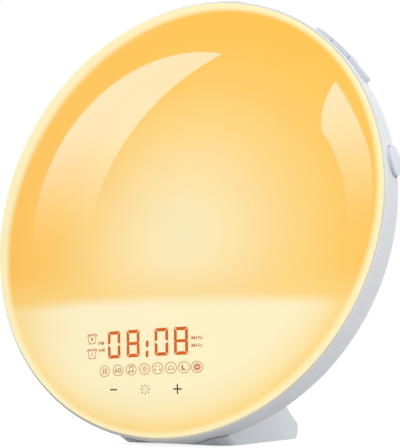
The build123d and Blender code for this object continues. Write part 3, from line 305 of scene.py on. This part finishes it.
def lit_diffuser():
    """The milky cover, lit from behind: a warm sky over a pale display, with a pale rolled rim."""
    finish = Finish("diffuser")
    lamp = finish.offset(finish.place, LAMP_CENTRE)
    across = finish.dot(lamp, FACE_RIGHT)
    upward = finish.dot(lamp, FACE_UP)
    flat = finish.vector(across, upward)
    radius = finish.length(flat)

    # the sky: palest over the middle of the lamps, deepest amber towards the rim
    glow_centre = (0.014, -0.014, 0.0)
    glow_reach = 0.090
    distance = finish.math("DIVIDE", finish.length(finish.offset(flat, glow_centre)), glow_reach)
    sky = finish.ramp(
        distance,
        [
            (0.00, srgb("fceab8")),
            (0.16, srgb("fce7af")),
            (0.34, srgb("fddd98")),
            (0.48, srgb("fed57f")),
            (0.68, srgb("fecb61")),
            (0.96, srgb("fec247")),
        ],
    )
    # under the horizon: cream light from the display, warmer towards the rim
    cream = finish.ramp(
        finish.math("DIVIDE", radius, RIM_RADIUS),
        [
            (0.00, srgb("fff3c9")),
            (0.66, srgb("fff2c6")),
            (0.82, srgb("fef0c3")),
            (0.91, srgb("fde8ae")),
            (0.97, srgb("fdda88")),
            (1.00, srgb("fdd880")),
        ],
    )
    left_side = finish.step(across, -0.030, -0.075, 0.0, 0.75)
    cream = finish.mix(left_side, cream, srgb("fddb85"))
    dusk = finish.step(upward, HORIZON + DUSK_HEIGHT, HORIZON, 0.0, 0.5)
    sky = finish.mix(dusk, sky, srgb("fdd988"))
    horizon = finish.step(upward, HORIZON - HORIZON_BLUR, HORIZON + HORIZON_BLUR, 0.0, 1.0)
    face = finish.mix(horizon, cream, sky)
    # light gathers in the rolled rim, in a pale ring; its widening towards the upper left is a painted
    # highlight fixed on the cover, standing in for how the rim's glow changes with the angle of view
    upper_left = (-0.866, 0.5, 0.0)
    ring_inside, ring_outside = 0.0836, 0.0855      # radii of its blurred inner edge, where it is narrow
    inside_shift, outside_shift = -0.0100, -0.0058  # what they change by where it is widest
    # painted widening: how far each point lies towards the upper left
    towards = finish.math("DIVIDE", finish.dot(flat, upper_left), radius)
    share = finish.math("POWER", finish.math("MULTIPLY_ADD", towards, 0.5, 0.5), 2.7)
    ring_start = finish.math("MULTIPLY_ADD", share, inside_shift, ring_inside)
    ring_end = finish.math("MULTIPLY_ADD", share, outside_shift, ring_outside)
    ring = finish.step(radius, ring_start, ring_end, 0.0, 1.0)
    face = finish.mix(ring, face, srgb("fff0b8"))

    cloud = finish.step(finish.noise(30, 2.0), 0.2, 0.8, 0.985, 1.015)
    face = finish.mix(1.0, face, finish.vector(cloud, cloud, cloud), "MULTIPLY")
    finish.set(
        # base colour is the glow pattern dimmed: partly the cover's own colour, partly painted glow
        base_color=finish.mix(1.0, face, DIFFUSER_BODY_AND_GLOW, "MULTIPLY"),
        roughness=finish.step(finish.noise(120), 0.2, 0.8, 0.36, 0.44),
        specular_ior_level=0.0,
        emission_color=face,
        emission_strength=DIFFUSER_GLOW,
        coat_weight=1.0,
        coat_roughness=0.02,
        coat_ior=1.4,
    )
    return finish


finishes = {
    "diffuser": lit_diffuser(),
    "housing_white": moulded("housing_white", (0.75, 0.775, 0.81), 0.36, grain=1800, depth=0.0000012),
    "key_white": moulded("key_white", (0.73, 0.76, 0.82), 0.34, grain=1800, depth=0.000001),
    "reflector_white": moulded("reflector_white", (0.86, 0.86, 0.84), 0.3),
    "baffle_black": moulded("baffle_black", (0.03, 0.03, 0.03), 0.5),
    "light_board_white": board("light_board_white", (0.82, 0.83, 0.82), (0.70, 0.71, 0.68)),
    "circuit_board": board("circuit_board", (0.012, 0.11, 0.045), (0.03, 0.22, 0.08)),
    "led_warm": glowing("led_warm", (0.75, 0.50, 0.08), (1.0, 0.66, 0.25), 0.8),
    "led_clear": glowing("led_clear", (0.75, 0.75, 0.72), (1.0, 0.95, 0.85), 0.3),
    "display_orange": glowing("display_orange", (0.25, 0.05, 0.005), (0.56, 0.095, 0.002), 0.85),
    "touch_grey": moulded("touch_grey", (0.05, 0.042, 0.032), 0.5),
    "chip_black": moulded("chip_black", (0.02, 0.02, 0.022), 0.45, grain=5000),
    "connector_white": moulded("connector_white", (0.74, 0.71, 0.60), 0.42),
    "capacitor_sleeve": moulded("capacitor_sleeve", (0.010, 0.022, 0.10), 0.3),
    "shield_tin": metal("shield_tin", (0.62, 0.62, 0.60)),
    "foam_grey": soft("foam_grey", (0.08, 0.08, 0.085), 0.9, 1600, 0.00012),
    "basket_black": moulded("basket_black", (0.012, 0.012, 0.013), 0.42, coat=0.3),
    "ferrite": soft("ferrite", (0.028, 0.028, 0.030), 0.6, 1400),
    "steel_zinc": metal("steel_zinc", (0.60, 0.60, 0.61), 0.32),
    "coil_copper": metal("coil_copper", (0.60, 0.22, 0.08), 0.3, (1, 14, 1), 500),
    "cone_paper": soft("cone_paper", (0.015, 0.015, 0.015), 0.85, 2400, 0.00008),
    "surround_rubber": soft("surround_rubber", (0.012, 0.012, 0.012), 0.6, 3000, 0.00002),
    "inlet_black": moulded("inlet_black", (0.010, 0.010, 0.011), 0.38),
    "contact_brass": metal("contact_brass", (0.66, 0.44, 0.15), 0.25),
    "cell_steel": metal("cell_steel", (0.72, 0.72, 0.71), 0.22),
    "lead_black": soft("lead_black", (0.012, 0.012, 0.012), 0.5, 3000, 0.00001),
    "ribbon_grey": moulded("ribbon_grey", (0.50, 0.51, 0.52), 0.35),
    "foot_rubber": soft("foot_rubber", (0.030, 0.030, 0.031), 0.75, 2600, 0.00003),
}
for row in frame["record"]["subparts"]:
    for material_slot in frame["nodes"][row["node"]].material_slots:
        material_slot.material = finishes[row["material_slot"]].material


# ---------------------------------------------------------------- meshes


def mesh_object(name, vertices, faces, finish_slot, smooth=True):
    """A mesh object in the model's frame, with the finish of one of the record's slots."""
    mesh = bpy.data.meshes.new(name)
    mesh.from_pydata([tuple(vertex) for vertex in vertices], [], faces)
    mesh.update()
    if smooth:
        mesh.shade_smooth()
    piece = bpy.data.objects.new(name, mesh)
    bpy.context.scene.collection.objects.link(piece)
    if finish_slot:
        mesh.materials.append(finishes[finish_slot].material)
    return piece


def bezier(start, first_pull, second_pull, end, steps):
    """Points of a cubic curve in the plane, without its start."""
    points = []
    for i in range(1, steps + 1):
        t = i / steps
        weights = ((1 - t) ** 3, 3 * t * (1 - t) ** 2, 3 * t * t * (1 - t), t**3)
        corners = (start, first_pull, second_pull, end)
        points.append(tuple(sum(w * c[k] for w, c in zip(weights, corners)) for k in (0, 1)))
    return points


def dome_section():
    """Half section of the milky cover: the dome, its rolled rim, the skirt and the inside of the dome."""
    roll_start = 0.0822
    edge = (roll_start, dome_height_at(roll_start, 0.0))
    fall = roll_start / math.sqrt(DOME_SPHERE**2 - roll_start**2)
    roll_pull = 0.0021
    dome_steps, roll_steps, inside_steps = 56, 14, 28
    radii = [roll_start * i / dome_steps for i in range(dome_steps)]
    section = [(radius, dome_height_at(radius, 0.0)) for radius in radii] + [edge]
    section += bezier(
        edge,
        (edge[0] + roll_pull, edge[1] - roll_pull * fall),
        (RIM_RADIUS, roll_pull),
        (RIM_RADIUS, 0.0),
        roll_steps,
    )
    section += [
        (SKIRT_OUTER, 0.0),
        (SKIRT_OUTER, -SKIRT_LENGTH),
        (SKIRT_OUTER - SKIRT_WALL, -SKIRT_LENGTH),
        (SKIRT_OUTER - SKIRT_WALL, (RIM_DROP - DIFFUSER_WALL) / 2),
    ]
    inner_edge = DOME_EDGE - DIFFUSER_WALL
    for i in range(inside_steps + 1):
        radius = inner_edge * (1 - i / inside_steps)
        section.append((radius, dome_height_at(radius, 0.0, -DIFFUSER_WALL)))
    return section


def lathe(name, section, segments, finish_slot):
    """Turns a half section, from the lamp's axis back to it, into a closed body."""
    middle = section[1:-1]
    vertices = [lamp_point(0, 0, section[0][1])]
    for radius, height in middle:
        for k in range(segments):
            angle = 2 * math.pi * k / segments
            vertices.append(lamp_point(radius * math.cos(angle), radius * math.sin(angle), height))
    vertices.append(lamp_point(0, 0, section[-1][1]))
    last = len(vertices) - 1
    outermost = 1 + (len(middle) - 1) * segments
    faces = []
    for k in range(segments):
        after = (k + 1) % segments
        faces.append((0, 1 + k, 1 + after))
        for j in range(len(middle) - 1):
            ring = 1 + j * segments
            faces.append((ring + k, ring + segments + k, ring + segments + after, ring + after))
        faces.append((outermost + after, outermost + k, last))
    piece = mesh_object(name, vertices, faces, finish_slot)
    piece.data.set_sharp_from_angle(angle=math.radians(50))
    return piece


def make_cover():
    cover = lathe("milky_cover", dome_section(), 256, "diffuser")
    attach(cover, "lamp")
    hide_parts("front_diffuser")
    return cover


# ---------------------------------------------------------------- display
# Places and sizes on the display are in millimetres, to the right of the lamp's middle and above it.
ROW_SLOPE = 0.04            # the rows climb a little to the right
TOUCH_SLOPE = 0.02
MARK_LIFT = 0.00006         # in metres, how far a mark stands out of the dome
MARK_SINK = 0.00025         # and how far it reaches into it


def oval_point(centre, radius, angle, stretch):
    """A point of a circle, widened by that stretch."""
    return centre[0] + stretch * radius * math.cos(angle), centre[1] + radius * math.sin(angle)


class Marks:
    """Flat shapes that are laid on the dome as one thin body."""

    def __init__(self, slope):
        self.slope = slope
        self.shapes = bmesh.new()

    def face(self, points):
        corners = [self.shapes.verts.new((x, y, 0.0)) for x, y in points]
        self.shapes.faces.new(corners)

    def stroke(self, points, width, closed=False):
        """A line of that width through the points."""
        count = len(points)
        sides = []
        for i, (x, y) in enumerate(points):
            before = points[i - 1] if closed or i else points[0]
            after = points[(i + 1) % count] if closed or i < count - 1 else points[-1]
            along = Vector((after[0] - before[0], after[1] - before[1])).normalized()
            out = Vector((-along.y, along.x)) * width / 2
            sides.append([
                self.shapes.verts.new((x + side * out.x, y + side * out.y, 0)) for side in (1, -1)
            ])
        for i in range(count if closed else count - 1):
            first, second = sides[i], sides[(i + 1) % count]
            self.shapes.faces.new((first[0], first[1], second[1], second[0]))

    def arc(self, centre, radius, width, start=0.0, end=360.0, stretch=1.0, steps=36):
        """An arc, with its angles in degrees from the right, anticlockwise."""
        closed = end - start >= 360.0
        count = steps if closed else steps + 1
        angles = [math.radians(start + (end - start) * i / steps) for i in range(count)]
        self.stroke([oval_point(centre, radius, angle, stretch) for angle in angles], width, closed)

    def disc(self, centre, radius, stretch=1.0, steps=24):
        angles = [2 * math.pi * i / steps for i in range(steps)]
        self.face([oval_point(centre, radius, angle, stretch) for angle in angles])

    def rays(self, centre, inner, outer, width, count, stretch=1.0):
        for i in range(count):
            angle = 2 * math.pi * i / count
            ends = [oval_point(centre, reach, angle, stretch) for reach in (inner, outer)]
            self.stroke(ends, width)

    def word(self, text, centre, width, height):
        """Plain letters that fill a box of that size."""
        curve = bpy.data.curves.new("word", "FONT")
        curve.body = text
        curve.offset = 0.015    # makes them bolder
        curve.space_character = 1.12
        curve.resolution_u = 4
        holder = bpy.data.objects.new("word", curve)
        letters = bpy.data.meshes.new_from_object(holder)
        lows = [min(v.co[k] for v in letters.vertices) for k in (0, 1)]
        highs = [max(v.co[k] for v in letters.vertices) for k in (0, 1)]
        factors = [size / (high - low) for size, low, high in zip((width, height), lows, highs)]
        corners = [
            self.shapes.verts.new([
                centre[k] + (v.co[k] - (lows[k] + highs[k]) / 2) * factors[k] for k in (0, 1)
            ] + [0.0])
            for v in letters.vertices
        ]
        for polygon in letters.polygons:
            self.shapes.faces.new([corners[i] for i in polygon.vertices])
        bpy.data.objects.remove(holder)
        bpy.data.curves.remove(curve)
        bpy.data.meshes.remove(letters)

    def lay(self, name, finish_slot, material=None):
        """Gives the shapes their thickness and lays them on the dome."""
        shapes = self.shapes
        bmesh.ops.recalc_face_normals(shapes, faces=shapes.faces)
        for face in shapes.faces:
            if face.normal.z < 0:
                face.normal_flip()
        raised = bmesh.ops.extrude_face_region(shapes, geom=shapes.faces[:], use_keep_orig=True)
        for item in raised["geom"]:
            if isinstance(item, bmesh.types.BMVert):
                item.co.z = 1.0
        for vertex in shapes.verts:
            x, y, top = vertex.co
            lift = MARK_LIFT if top > 0.5 else -MARK_SINK
            vertex.co = dome_point(x * MM, (y + self.slope * x) * MM, lift)
        bmesh.ops.recalc_face_normals(shapes, faces=shapes.faces)
        piece = mesh_object(name, [], [], finish_slot, smooth=False)
        shapes.to_mesh(piece.data)
        shapes.free()
        if material:
            piece.data.materials[0] = material
        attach(piece, "lamp")


DIGIT_WIDTH = 5.8
DIGIT_HEIGHT = 9.8
SEGMENT_WIDTH = 1.2
SEGMENT_GAP = 0.13          # between one segment and the next
DIGIT_ROW = -52.7           # middle of the digits
DIGITS = ((-14.7, "0"), (-5.9, "8"), (6.6, "0"), (14.8, "8"))
COLON = ((0.42, -53.1), (0.28, -56.7))
COLON_SIZE = (1.2, 2.3)


def draw_digit(marks, middle, number):
    """Bars with slanted ends, as in a seven-segment display."""
    left, right = middle - DIGIT_WIDTH / 2, middle + DIGIT_WIDTH / 2
    half, bar, gap = DIGIT_HEIGHT / 2, SEGMENT_WIDTH, SEGMENT_GAP
    for side in (1, -1):
        rim = DIGIT_ROW + side * half
        inside = rim - side * bar
        marks.face([
            (left + 2 * gap, rim),
            (right - 2 * gap, rim),
            (right - bar - gap, inside),
            (left + bar + gap, inside),
        ])
        waist = DIGIT_ROW + side * gap
        waist_inside = DIGIT_ROW + side * (gap + bar / 2)
        for outer, inner in ((left, left + bar), (right, right - bar)):
            marks.face([
                (outer, rim - side * 2 * gap),
                (outer, waist),
                (inner, waist_inside),
                (inner, inside - side * gap),
            ])
    if number == "8":
        tip, thick = bar / 2, bar * 0.45
        marks.face([
            (left + gap, DIGIT_ROW),
            (left + gap + tip, DIGIT_ROW + thick),
            (right - gap - tip, DIGIT_ROW + thick),
            (right - gap, DIGIT_ROW),
            (right - gap - tip, DIGIT_ROW - thick),
            (left + gap + tip, DIGIT_ROW - thick),
        ])


def draw_time():
    marks = Marks(ROW_SLOPE)
    for middle, number in DIGITS:
        draw_digit(marks, middle, number)
    half_width, half_height = (size / 2 for size in COLON_SIZE)
    for x, y in COLON:
        marks.face([
            (x - half_width, y - half_height),
            (x + half_width, y - half_height),
            (x + half_width, y + half_height),
            (x - half_width * 0.4, y + half_height),
            (x - half_width, y + half_height * 0.5),
        ])
    marks.lay("display_time", "display_orange")


ICON_LINE = 0.25
ICON_RADIUS = 1.95
ICON_STRETCH = 1.18
ICON_ROW = -62.0
ICON_PLACES = (-19.5, -13.1, -7.0, -1.0, 4.7, 10.4, 15.8, 21.1)
ALARM_PLACES = ((-25.4, -50.0, "1"), (-25.5, -55.5, "2"))
WORD_PLACES = (
    ("PM", (-20.9, -51.8), (2.8, 1.35)),
    ("AM", (-20.8, -54.3), (3.0, 1.35)),
    ("MIN", (21.2, -51.9), (4.2, 1.25)),
    ("MHz", (21.3, -54.5), (4.4, 1.25)),
)


def draw_note(marks, x, y):
    """Two notes under one beam."""
    for offset_x, foot in ((-0.75, -0.85), (0.75, -0.65)):
        marks.disc((x + offset_x - 0.2, y + foot), 0.38, 1.25)
        marks.stroke([(x + offset_x + 0.12, y + foot), (x + offset_x + 0.12, y + foot + 1.9)], 0.24)
    marks.stroke([(x - 0.75, y + 1.0), (x + 0.99, y + 1.2)], 0.46)


def draw_cloud(marks, x, y):
    marks.arc((x - 0.62, y - 0.1), 0.42, ICON_LINE * 0.8, 70, 270, steps=10)
    marks.arc((x, y + 0.12), 0.68, ICON_LINE * 0.8, 20, 160, steps=10)
    marks.arc((x + 0.72, y - 0.12), 0.40, ICON_LINE * 0.8, -90, 100, steps=10)
    marks.stroke([(x - 1.35, y - 0.52), (x + 1.45, y - 0.52)], ICON_LINE)


def draw_headphones(marks, x, y):
    marks.arc((x, y - 0.1), 1.1, ICON_LINE * 0.6, 0, 180, steps=16)
    for side in (-1, 1):
        marks.disc((x + side * 1.1, y - 0.55), 0.36)


def draw_moon(marks, x, y):
    """A crescent between two arcs."""
    outer = [math.radians(110 + 220 * i / 16) for i in range(17)]
    inner = [math.radians(296 - 186 * i / 12) for i in range(1, 12)]
    points = [(x + 1.1 * math.cos(a), y + 1.1 * math.sin(a)) for a in outer]
    points += [(x + 0.42 + 0.86 * math.cos(a), y + 0.25 + 0.86 * math.sin(a)) for a in inner]
    marks.face(points)


def draw_flower(marks, x, y):
    """A sun with short round rays."""
    marks.arc((x, y), 0.62, 0.42, stretch=ICON_STRETCH, steps=20)
    for i in range(8):
        marks.disc(oval_point((x, y), 1.08, math.pi * i / 4, ICON_STRETCH), 0.3, steps=10)


def icon_finish():
    """Weaker and browner than the digits."""
    return glowing("display_icon", (0.20, 0.06, 0.01), srgb("b8793a"), 0.85)


def draw_icons():
    marks = Marks(ROW_SLOPE)
    places = [(x, ICON_ROW) for x in ICON_PLACES]
    for place in places:
        marks.arc(place, ICON_RADIUS, ICON_LINE, stretch=ICON_STRETCH, steps=40)
    marks.word("30", places[0], 2.3, 1.9)
    marks.word("60", places[1], 2.9, 1.7)
    draw_note(marks, *places[2])
    marks.arc(places[3], 0.45, ICON_LINE * 0.7, steps=12)
    marks.rays(places[3], 0.6, 1.6, ICON_LINE * 0.7, 8)
    draw_headphones(marks, *places[4])
    draw_cloud(marks, *places[5])
    draw_moon(marks, *places[6])
    for x, y, number in ALARM_PLACES:
        marks.arc((x, y - 0.1), 1.6, ICON_LINE, stretch=ICON_STRETCH, steps=32)
        for side in (-1, 1):
            bell = [(x + side * out, y + up) for out, up in ((2.3, 1.0), (2.1, 1.55), (1.2, 1.75))]
            marks.stroke(bell, 0.55)
            marks.stroke([(x + side * 1.25, y - 1.4), (x + side * 1.65, y - 1.85)], 0.34)
        marks.stroke([(x - 0.95, y + 1.8), (x + 0.95, y + 1.8)], 0.22)
        marks.word(number, (x, y), 0.8, 1.2)
    for text, place, (width, height) in WORD_PLACES:
        marks.word(text, place, width, height)
    marks.lay("display_icons", "display_orange", icon_finish().material)
    sun = Marks(ROW_SLOPE)
    draw_flower(sun, *places[7])
    sun.lay("display_sun", "display_orange")


TOUCH_ROW = -69.15
TOUCH_PLACES = (-15.5, -1.0, 12.8)      # less, lamp, more
TOUCH_LINE = 0.52


def draw_touch_marks():
    """A dash, a small sun and a cross, for less light, the lamp and more light."""
    marks = Marks(TOUCH_SLOPE)
    less, sun, more = ((x, TOUCH_ROW) for x in TOUCH_PLACES)
    reach, half = 1.75, TOUCH_LINE / 2
    dash = 1.62
    corners = ((-dash, -half), (dash, -half), (dash, half), (-dash, half))
    marks.face([(less[0] + x, less[1] + y) for x, y in corners])
    cross = []
    for turn in range(4):
        for x, y in ((reach, -half), (reach, half), (half, half)):
            for _ in range(turn):
                x, y = -y, x
            cross.append((more[0] + x, more[1] + y))
    marks.face(cross)
    marks.arc(sun, 0.72, 0.07, steps=20)
    marks.rays(sun, 1.2, 1.8, 0.32, 8, ICON_STRETCH)
    marks.lay("touch_marks", "touch_grey")


# ---------------------------------------------------------------- stage, camera and light


ROOM_LIGHT = 0.42
PAPER = (0.45, 0.45, 0.46)
FLOOR_GLOW = 0.84
PANELS = (                  # place, height aimed at, side and watts of each square lamp
    ("sky_panel", (0.25, -0.35, 1.5), 0.10, 1.6, 12.5),
    ("side_panel", (1.4, -0.5, 0.45), 0.08, 0.9, 9.2),
    ("back_panel", (-0.5, 1.5, 0.9), 0.10, 1.2, 9.0),
)


def emission_material(name, colour, power, base_kind, share):
    """A base shader plus a light of that power, times the number that share(tree) gives."""
    material = bpy.data.materials.new(name)
    material.use_nodes = True
    tree = material.node_tree
    tree.nodes.clear()
    strength = tree.nodes.new("ShaderNodeMath")
    strength.operation = "MULTIPLY"
    strength.inputs[1].default_value = power
    tree.links.new(share(tree), strength.inputs[0])
    light = tree.nodes.new("ShaderNodeEmission")
    light.inputs["Color"].default_value = opaque(colour)
    tree.links.new(strength.outputs[0], light.inputs["Strength"])
    base = tree.nodes.new(base_kind)
    both = tree.nodes.new("ShaderNodeAddShader")
    tree.links.new(light.outputs[0], both.inputs[0])
    tree.links.new(base.outputs[0], both.inputs[1])
    output = tree.nodes.new("ShaderNodeOutputMaterial")
    tree.links.new(both.outputs[0], output.inputs["Surface"])
    return material, base


def seen_directly(tree):
    """1 for rays that come straight from the camera, by a reflection or through glass, and 0 for others."""
    path = tree.nodes.new("ShaderNodeLightPath")
    total = path.outputs["Is Camera Ray"]
    for name in ("Is Glossy Ray", "Is Transmission Ray"):
        join = tree.nodes.new("ShaderNodeMath")
        join.operation = "MAXIMUM"
        tree.links.new(total, join.inputs[0])
        tree.links.new(path.outputs[name], join.inputs[1])
        total = join.outputs[0]
    return total


def make_world():
    """White where it is seen, and a plain soft light elsewhere."""
    world = bpy.data.worlds.new("studio")
    world.use_nodes = True
    tree = world.node_tree
    background = tree.nodes["Background"]
    background.inputs["Color"].default_value = (1.0, 1.0, 1.0, 1.0)
    strength = tree.nodes.new("ShaderNodeMapRange")
    strength.inputs["To Min"].default_value = ROOM_LIGHT
    strength.inputs["To Max"].default_value = 1.0
    tree.links.new(seen_directly(tree), strength.inputs["Value"])
    tree.links.new(strength.outputs[0], background.inputs["Strength"])
    bpy.context.scene.world = world


def make_floor():
    """A large sheet of grey paper, which keeps the shadow, with a glow that makes it look white."""
    half = 4.0
    corners = [(-half, -half, 0), (half, -half, 0), (half, half, 0), (-half, half, 0)]
    floor = mesh_object("floor", corners, [(0, 1, 2, 3)], None, smooth=False)
    material, paper = emission_material(
        "floor_white", (1.0, 1.0, 1.0), FLOOR_GLOW, "ShaderNodeBsdfDiffuse", seen_directly
    )
    paper.inputs["Color"].default_value = opaque(PAPER)
    floor.data.materials.append(material)


def make_camera():
    camera = bpy.data.objects.new("camera", bpy.data.cameras.new("camera"))
    bpy.context.scene.collection.objects.link(camera)
    camera.data.sensor_fit = "VERTICAL"
    camera.data.sensor_height = SENSOR_HEIGHT
    camera.data.lens = FOCAL_PIXELS * SENSOR_HEIGHT / PICTURE_HEIGHT
    camera.data.clip_start = 0.01
    camera.location = CAMERA_PLACE
    camera.rotation_euler = CAMERA_AIM.to_track_quat("-Z", "Y").to_euler()
    bpy.context.scene.camera = camera


def area_light(name, place, aim_height, side, power):
    """A square lamp that lights the object but does not show in its gloss."""
    data = bpy.data.lights.new(name, "AREA")
    data.shape = "RECTANGLE"
    data.size = data.size_y = side
    data.energy = power
    lamp = bpy.data.objects.new(name, data)
    bpy.context.scene.collection.objects.link(lamp)
    lamp.location = place
    lamp.rotation_euler = (Vector((0, 0, aim_height)) - Vector(place)).to_track_quat("-Z", "Y").to_euler()
    lamp.visible_glossy = False


SOFTBOX_TINT = (0.30, 0.62, 1.0)
SOFTBOX_DISTANCE = 1.1          # from the dome
LEFT_POWER = 9.2
RIGHT_POWER = 12.0


def fade_of_point(tree):
    fade = tree.nodes.new("ShaderNodeAttribute")
    fade.attribute_name = "fade"
    return fade.outputs["Fac"]


def softbox(name, rows, strength, lit):
    """A light that only the reflections in one piece show. Each row lists points of the dome, with how
    bright the light is there, and it stands where rays from the camera go after they meet those points."""
    vertices = []
    fades = []
    for row in rows:
        for x, y, fade in row:
            point = dome_point(x, y)
            ray = (point - CAMERA_PLACE).normalized()
            vertices.append(point + ray.reflect(dome_normal(x, y)) * SOFTBOX_DISTANCE)
            fades.append(fade)
    width = len(rows[0])
    faces = []
    for i in range(len(rows) - 1):
        for j in range(width - 1):
            corner = i * width + j
            faces.append((corner, corner + 1, corner + width + 1, corner + width))
    box = mesh_object(name, vertices, faces, None)
    attribute = box.data.attributes.new("fade", "FLOAT", "POINT")
    attribute.data.foreach_set("value", fades)
    material, _ = emission_material(
        name, SOFTBOX_TINT, strength, "ShaderNodeBsdfTransparent", fade_of_point
    )
    box.data.materials.append(material)
    box.visible_camera = False
    box.visible_diffuse = False
    box.visible_transmission = False
    box.visible_volume_scatter = False
    box.visible_shadow = False
    receivers = bpy.data.collections.new(name + "_receivers")
    receivers.objects.link(lit)
    box.light_linking.receiver_collection = receivers


def arc_point(centre, radius, angle):
    """A point of a circle, at an angle clockwise from its top."""
    return centre[0] + radius * math.sin(angle), centre[1] + radius * math.cos(angle)


def angle_at_height(centre, radius, height):
    """Angle from the circle's top, on its left side, at which it is that high."""
    return -math.acos((height - centre[1]) / radius)


REFLECTION_ENDS = -0.016        # height on the face at which both reflections have faded out
REFLECTION_FULL = 0.040         # height from which they are at their brightest
LEFT_MIDDLE, LEFT_SLOPE = 0.93, 4.5     # the left light weakens where the dome turns away


def fade_at(height):
    """A smooth step from 0 at the lower height to 1 at the upper one."""
    t = min(1.0, max(0.0, (height - REFLECTION_ENDS) / (REFLECTION_FULL - REFLECTION_ENDS)))
    return t * t * (3 - 2 * t)


def left_reflection():
    """A sickle: its outer arc runs just inside the rim, and its inner arc leaves it towards the middle."""
    tip = (0.0199, 0.0589)
    outer_centre, outer_radius = (0.0026, -0.0029), 0.0645
    inner_centre, inner_radius = (0.0591, -0.0225), 0.0899
    outer_start = math.atan2(tip[0] - outer_centre[0], tip[1] - outer_centre[1])
    inner_start = math.atan2(tip[0] - inner_centre[0], tip[1] - inner_centre[1])
    outer_end = angle_at_height(outer_centre, outer_radius, REFLECTION_ENDS)
    inner_end = angle_at_height(inner_centre, inner_radius, REFLECTION_ENDS)
    steps, across = 64, 12
    rows = []
    for i in range(steps + 1):
        t = i / steps
        outer = arc_point(outer_centre, outer_radius, outer_start + (outer_end - outer_start) * t)
        inner = arc_point(inner_centre, inner_radius, inner_start + (inner_end - inner_start) * t)
        row = []
        for j in range(across + 1):
            x = outer[0] + (inner[0] - outer[0]) * j / across
            y = outer[1] + (inner[1] - outer[1]) * j / across
            row.append((x, y, fade_at(y) * (LEFT_MIDDLE + LEFT_SLOPE * x)))
        rows.append(row)
    return rows


def right_reflection():
    """A narrower one along the right rim: its left edge bulges, then turns at a corner and slants away."""
    apex = (0.0668, 0.0432)
    corner = (0.0642, 0.0233)
    tail = (corner, (0.0675, 0.0185), (0.0702, 0.0129), (0.0729, 0.0058), (0.0745, -0.0026))
    tail_end = (0.0756, REFLECTION_ENDS)
    bulge = 0.0017
    rim_spread = 0.085          # how fast the right edge nears the rim, downwards
    bulge_steps, tail_steps, across = 12, 6, 8
    left_edge = []
    for i in range(bulge_steps):
        t = i / bulge_steps
        x = apex[0] + (corner[0] - apex[0]) * t - bulge * 4 * t * (1 - t)
        left_edge.append((x, apex[1] + (corner[1] - apex[1]) * t))
    for (x0, y0), (x1, y1) in zip(tail, (*tail[1:], tail_end)):
        for i in range(tail_steps):
            left_edge.append((x0 + (x1 - x0) * i / tail_steps, y0 + (y1 - y0) * i / tail_steps))
    rows = []
    for x, y in left_edge:
        rim = math.hypot(*apex) + rim_spread * (apex[1] - y)
        edge = math.sqrt(rim**2 - y**2)
        rows.append([(x + (edge - x) * j / across, y, fade_at(y)) for j in range(across + 1)])
    return rows


cover = make_cover()
draw_time()
draw_icons()
draw_touch_marks()
make_camera()
make_world()
make_floor()
for panel in PANELS:
    area_light(*panel)
softbox("left_softbox", left_reflection(), LEFT_POWER, cover)
softbox("right_softbox", right_reflection(), RIGHT_POWER, cover)

bpy.context.scene.view_settings.view_transform = "Standard"
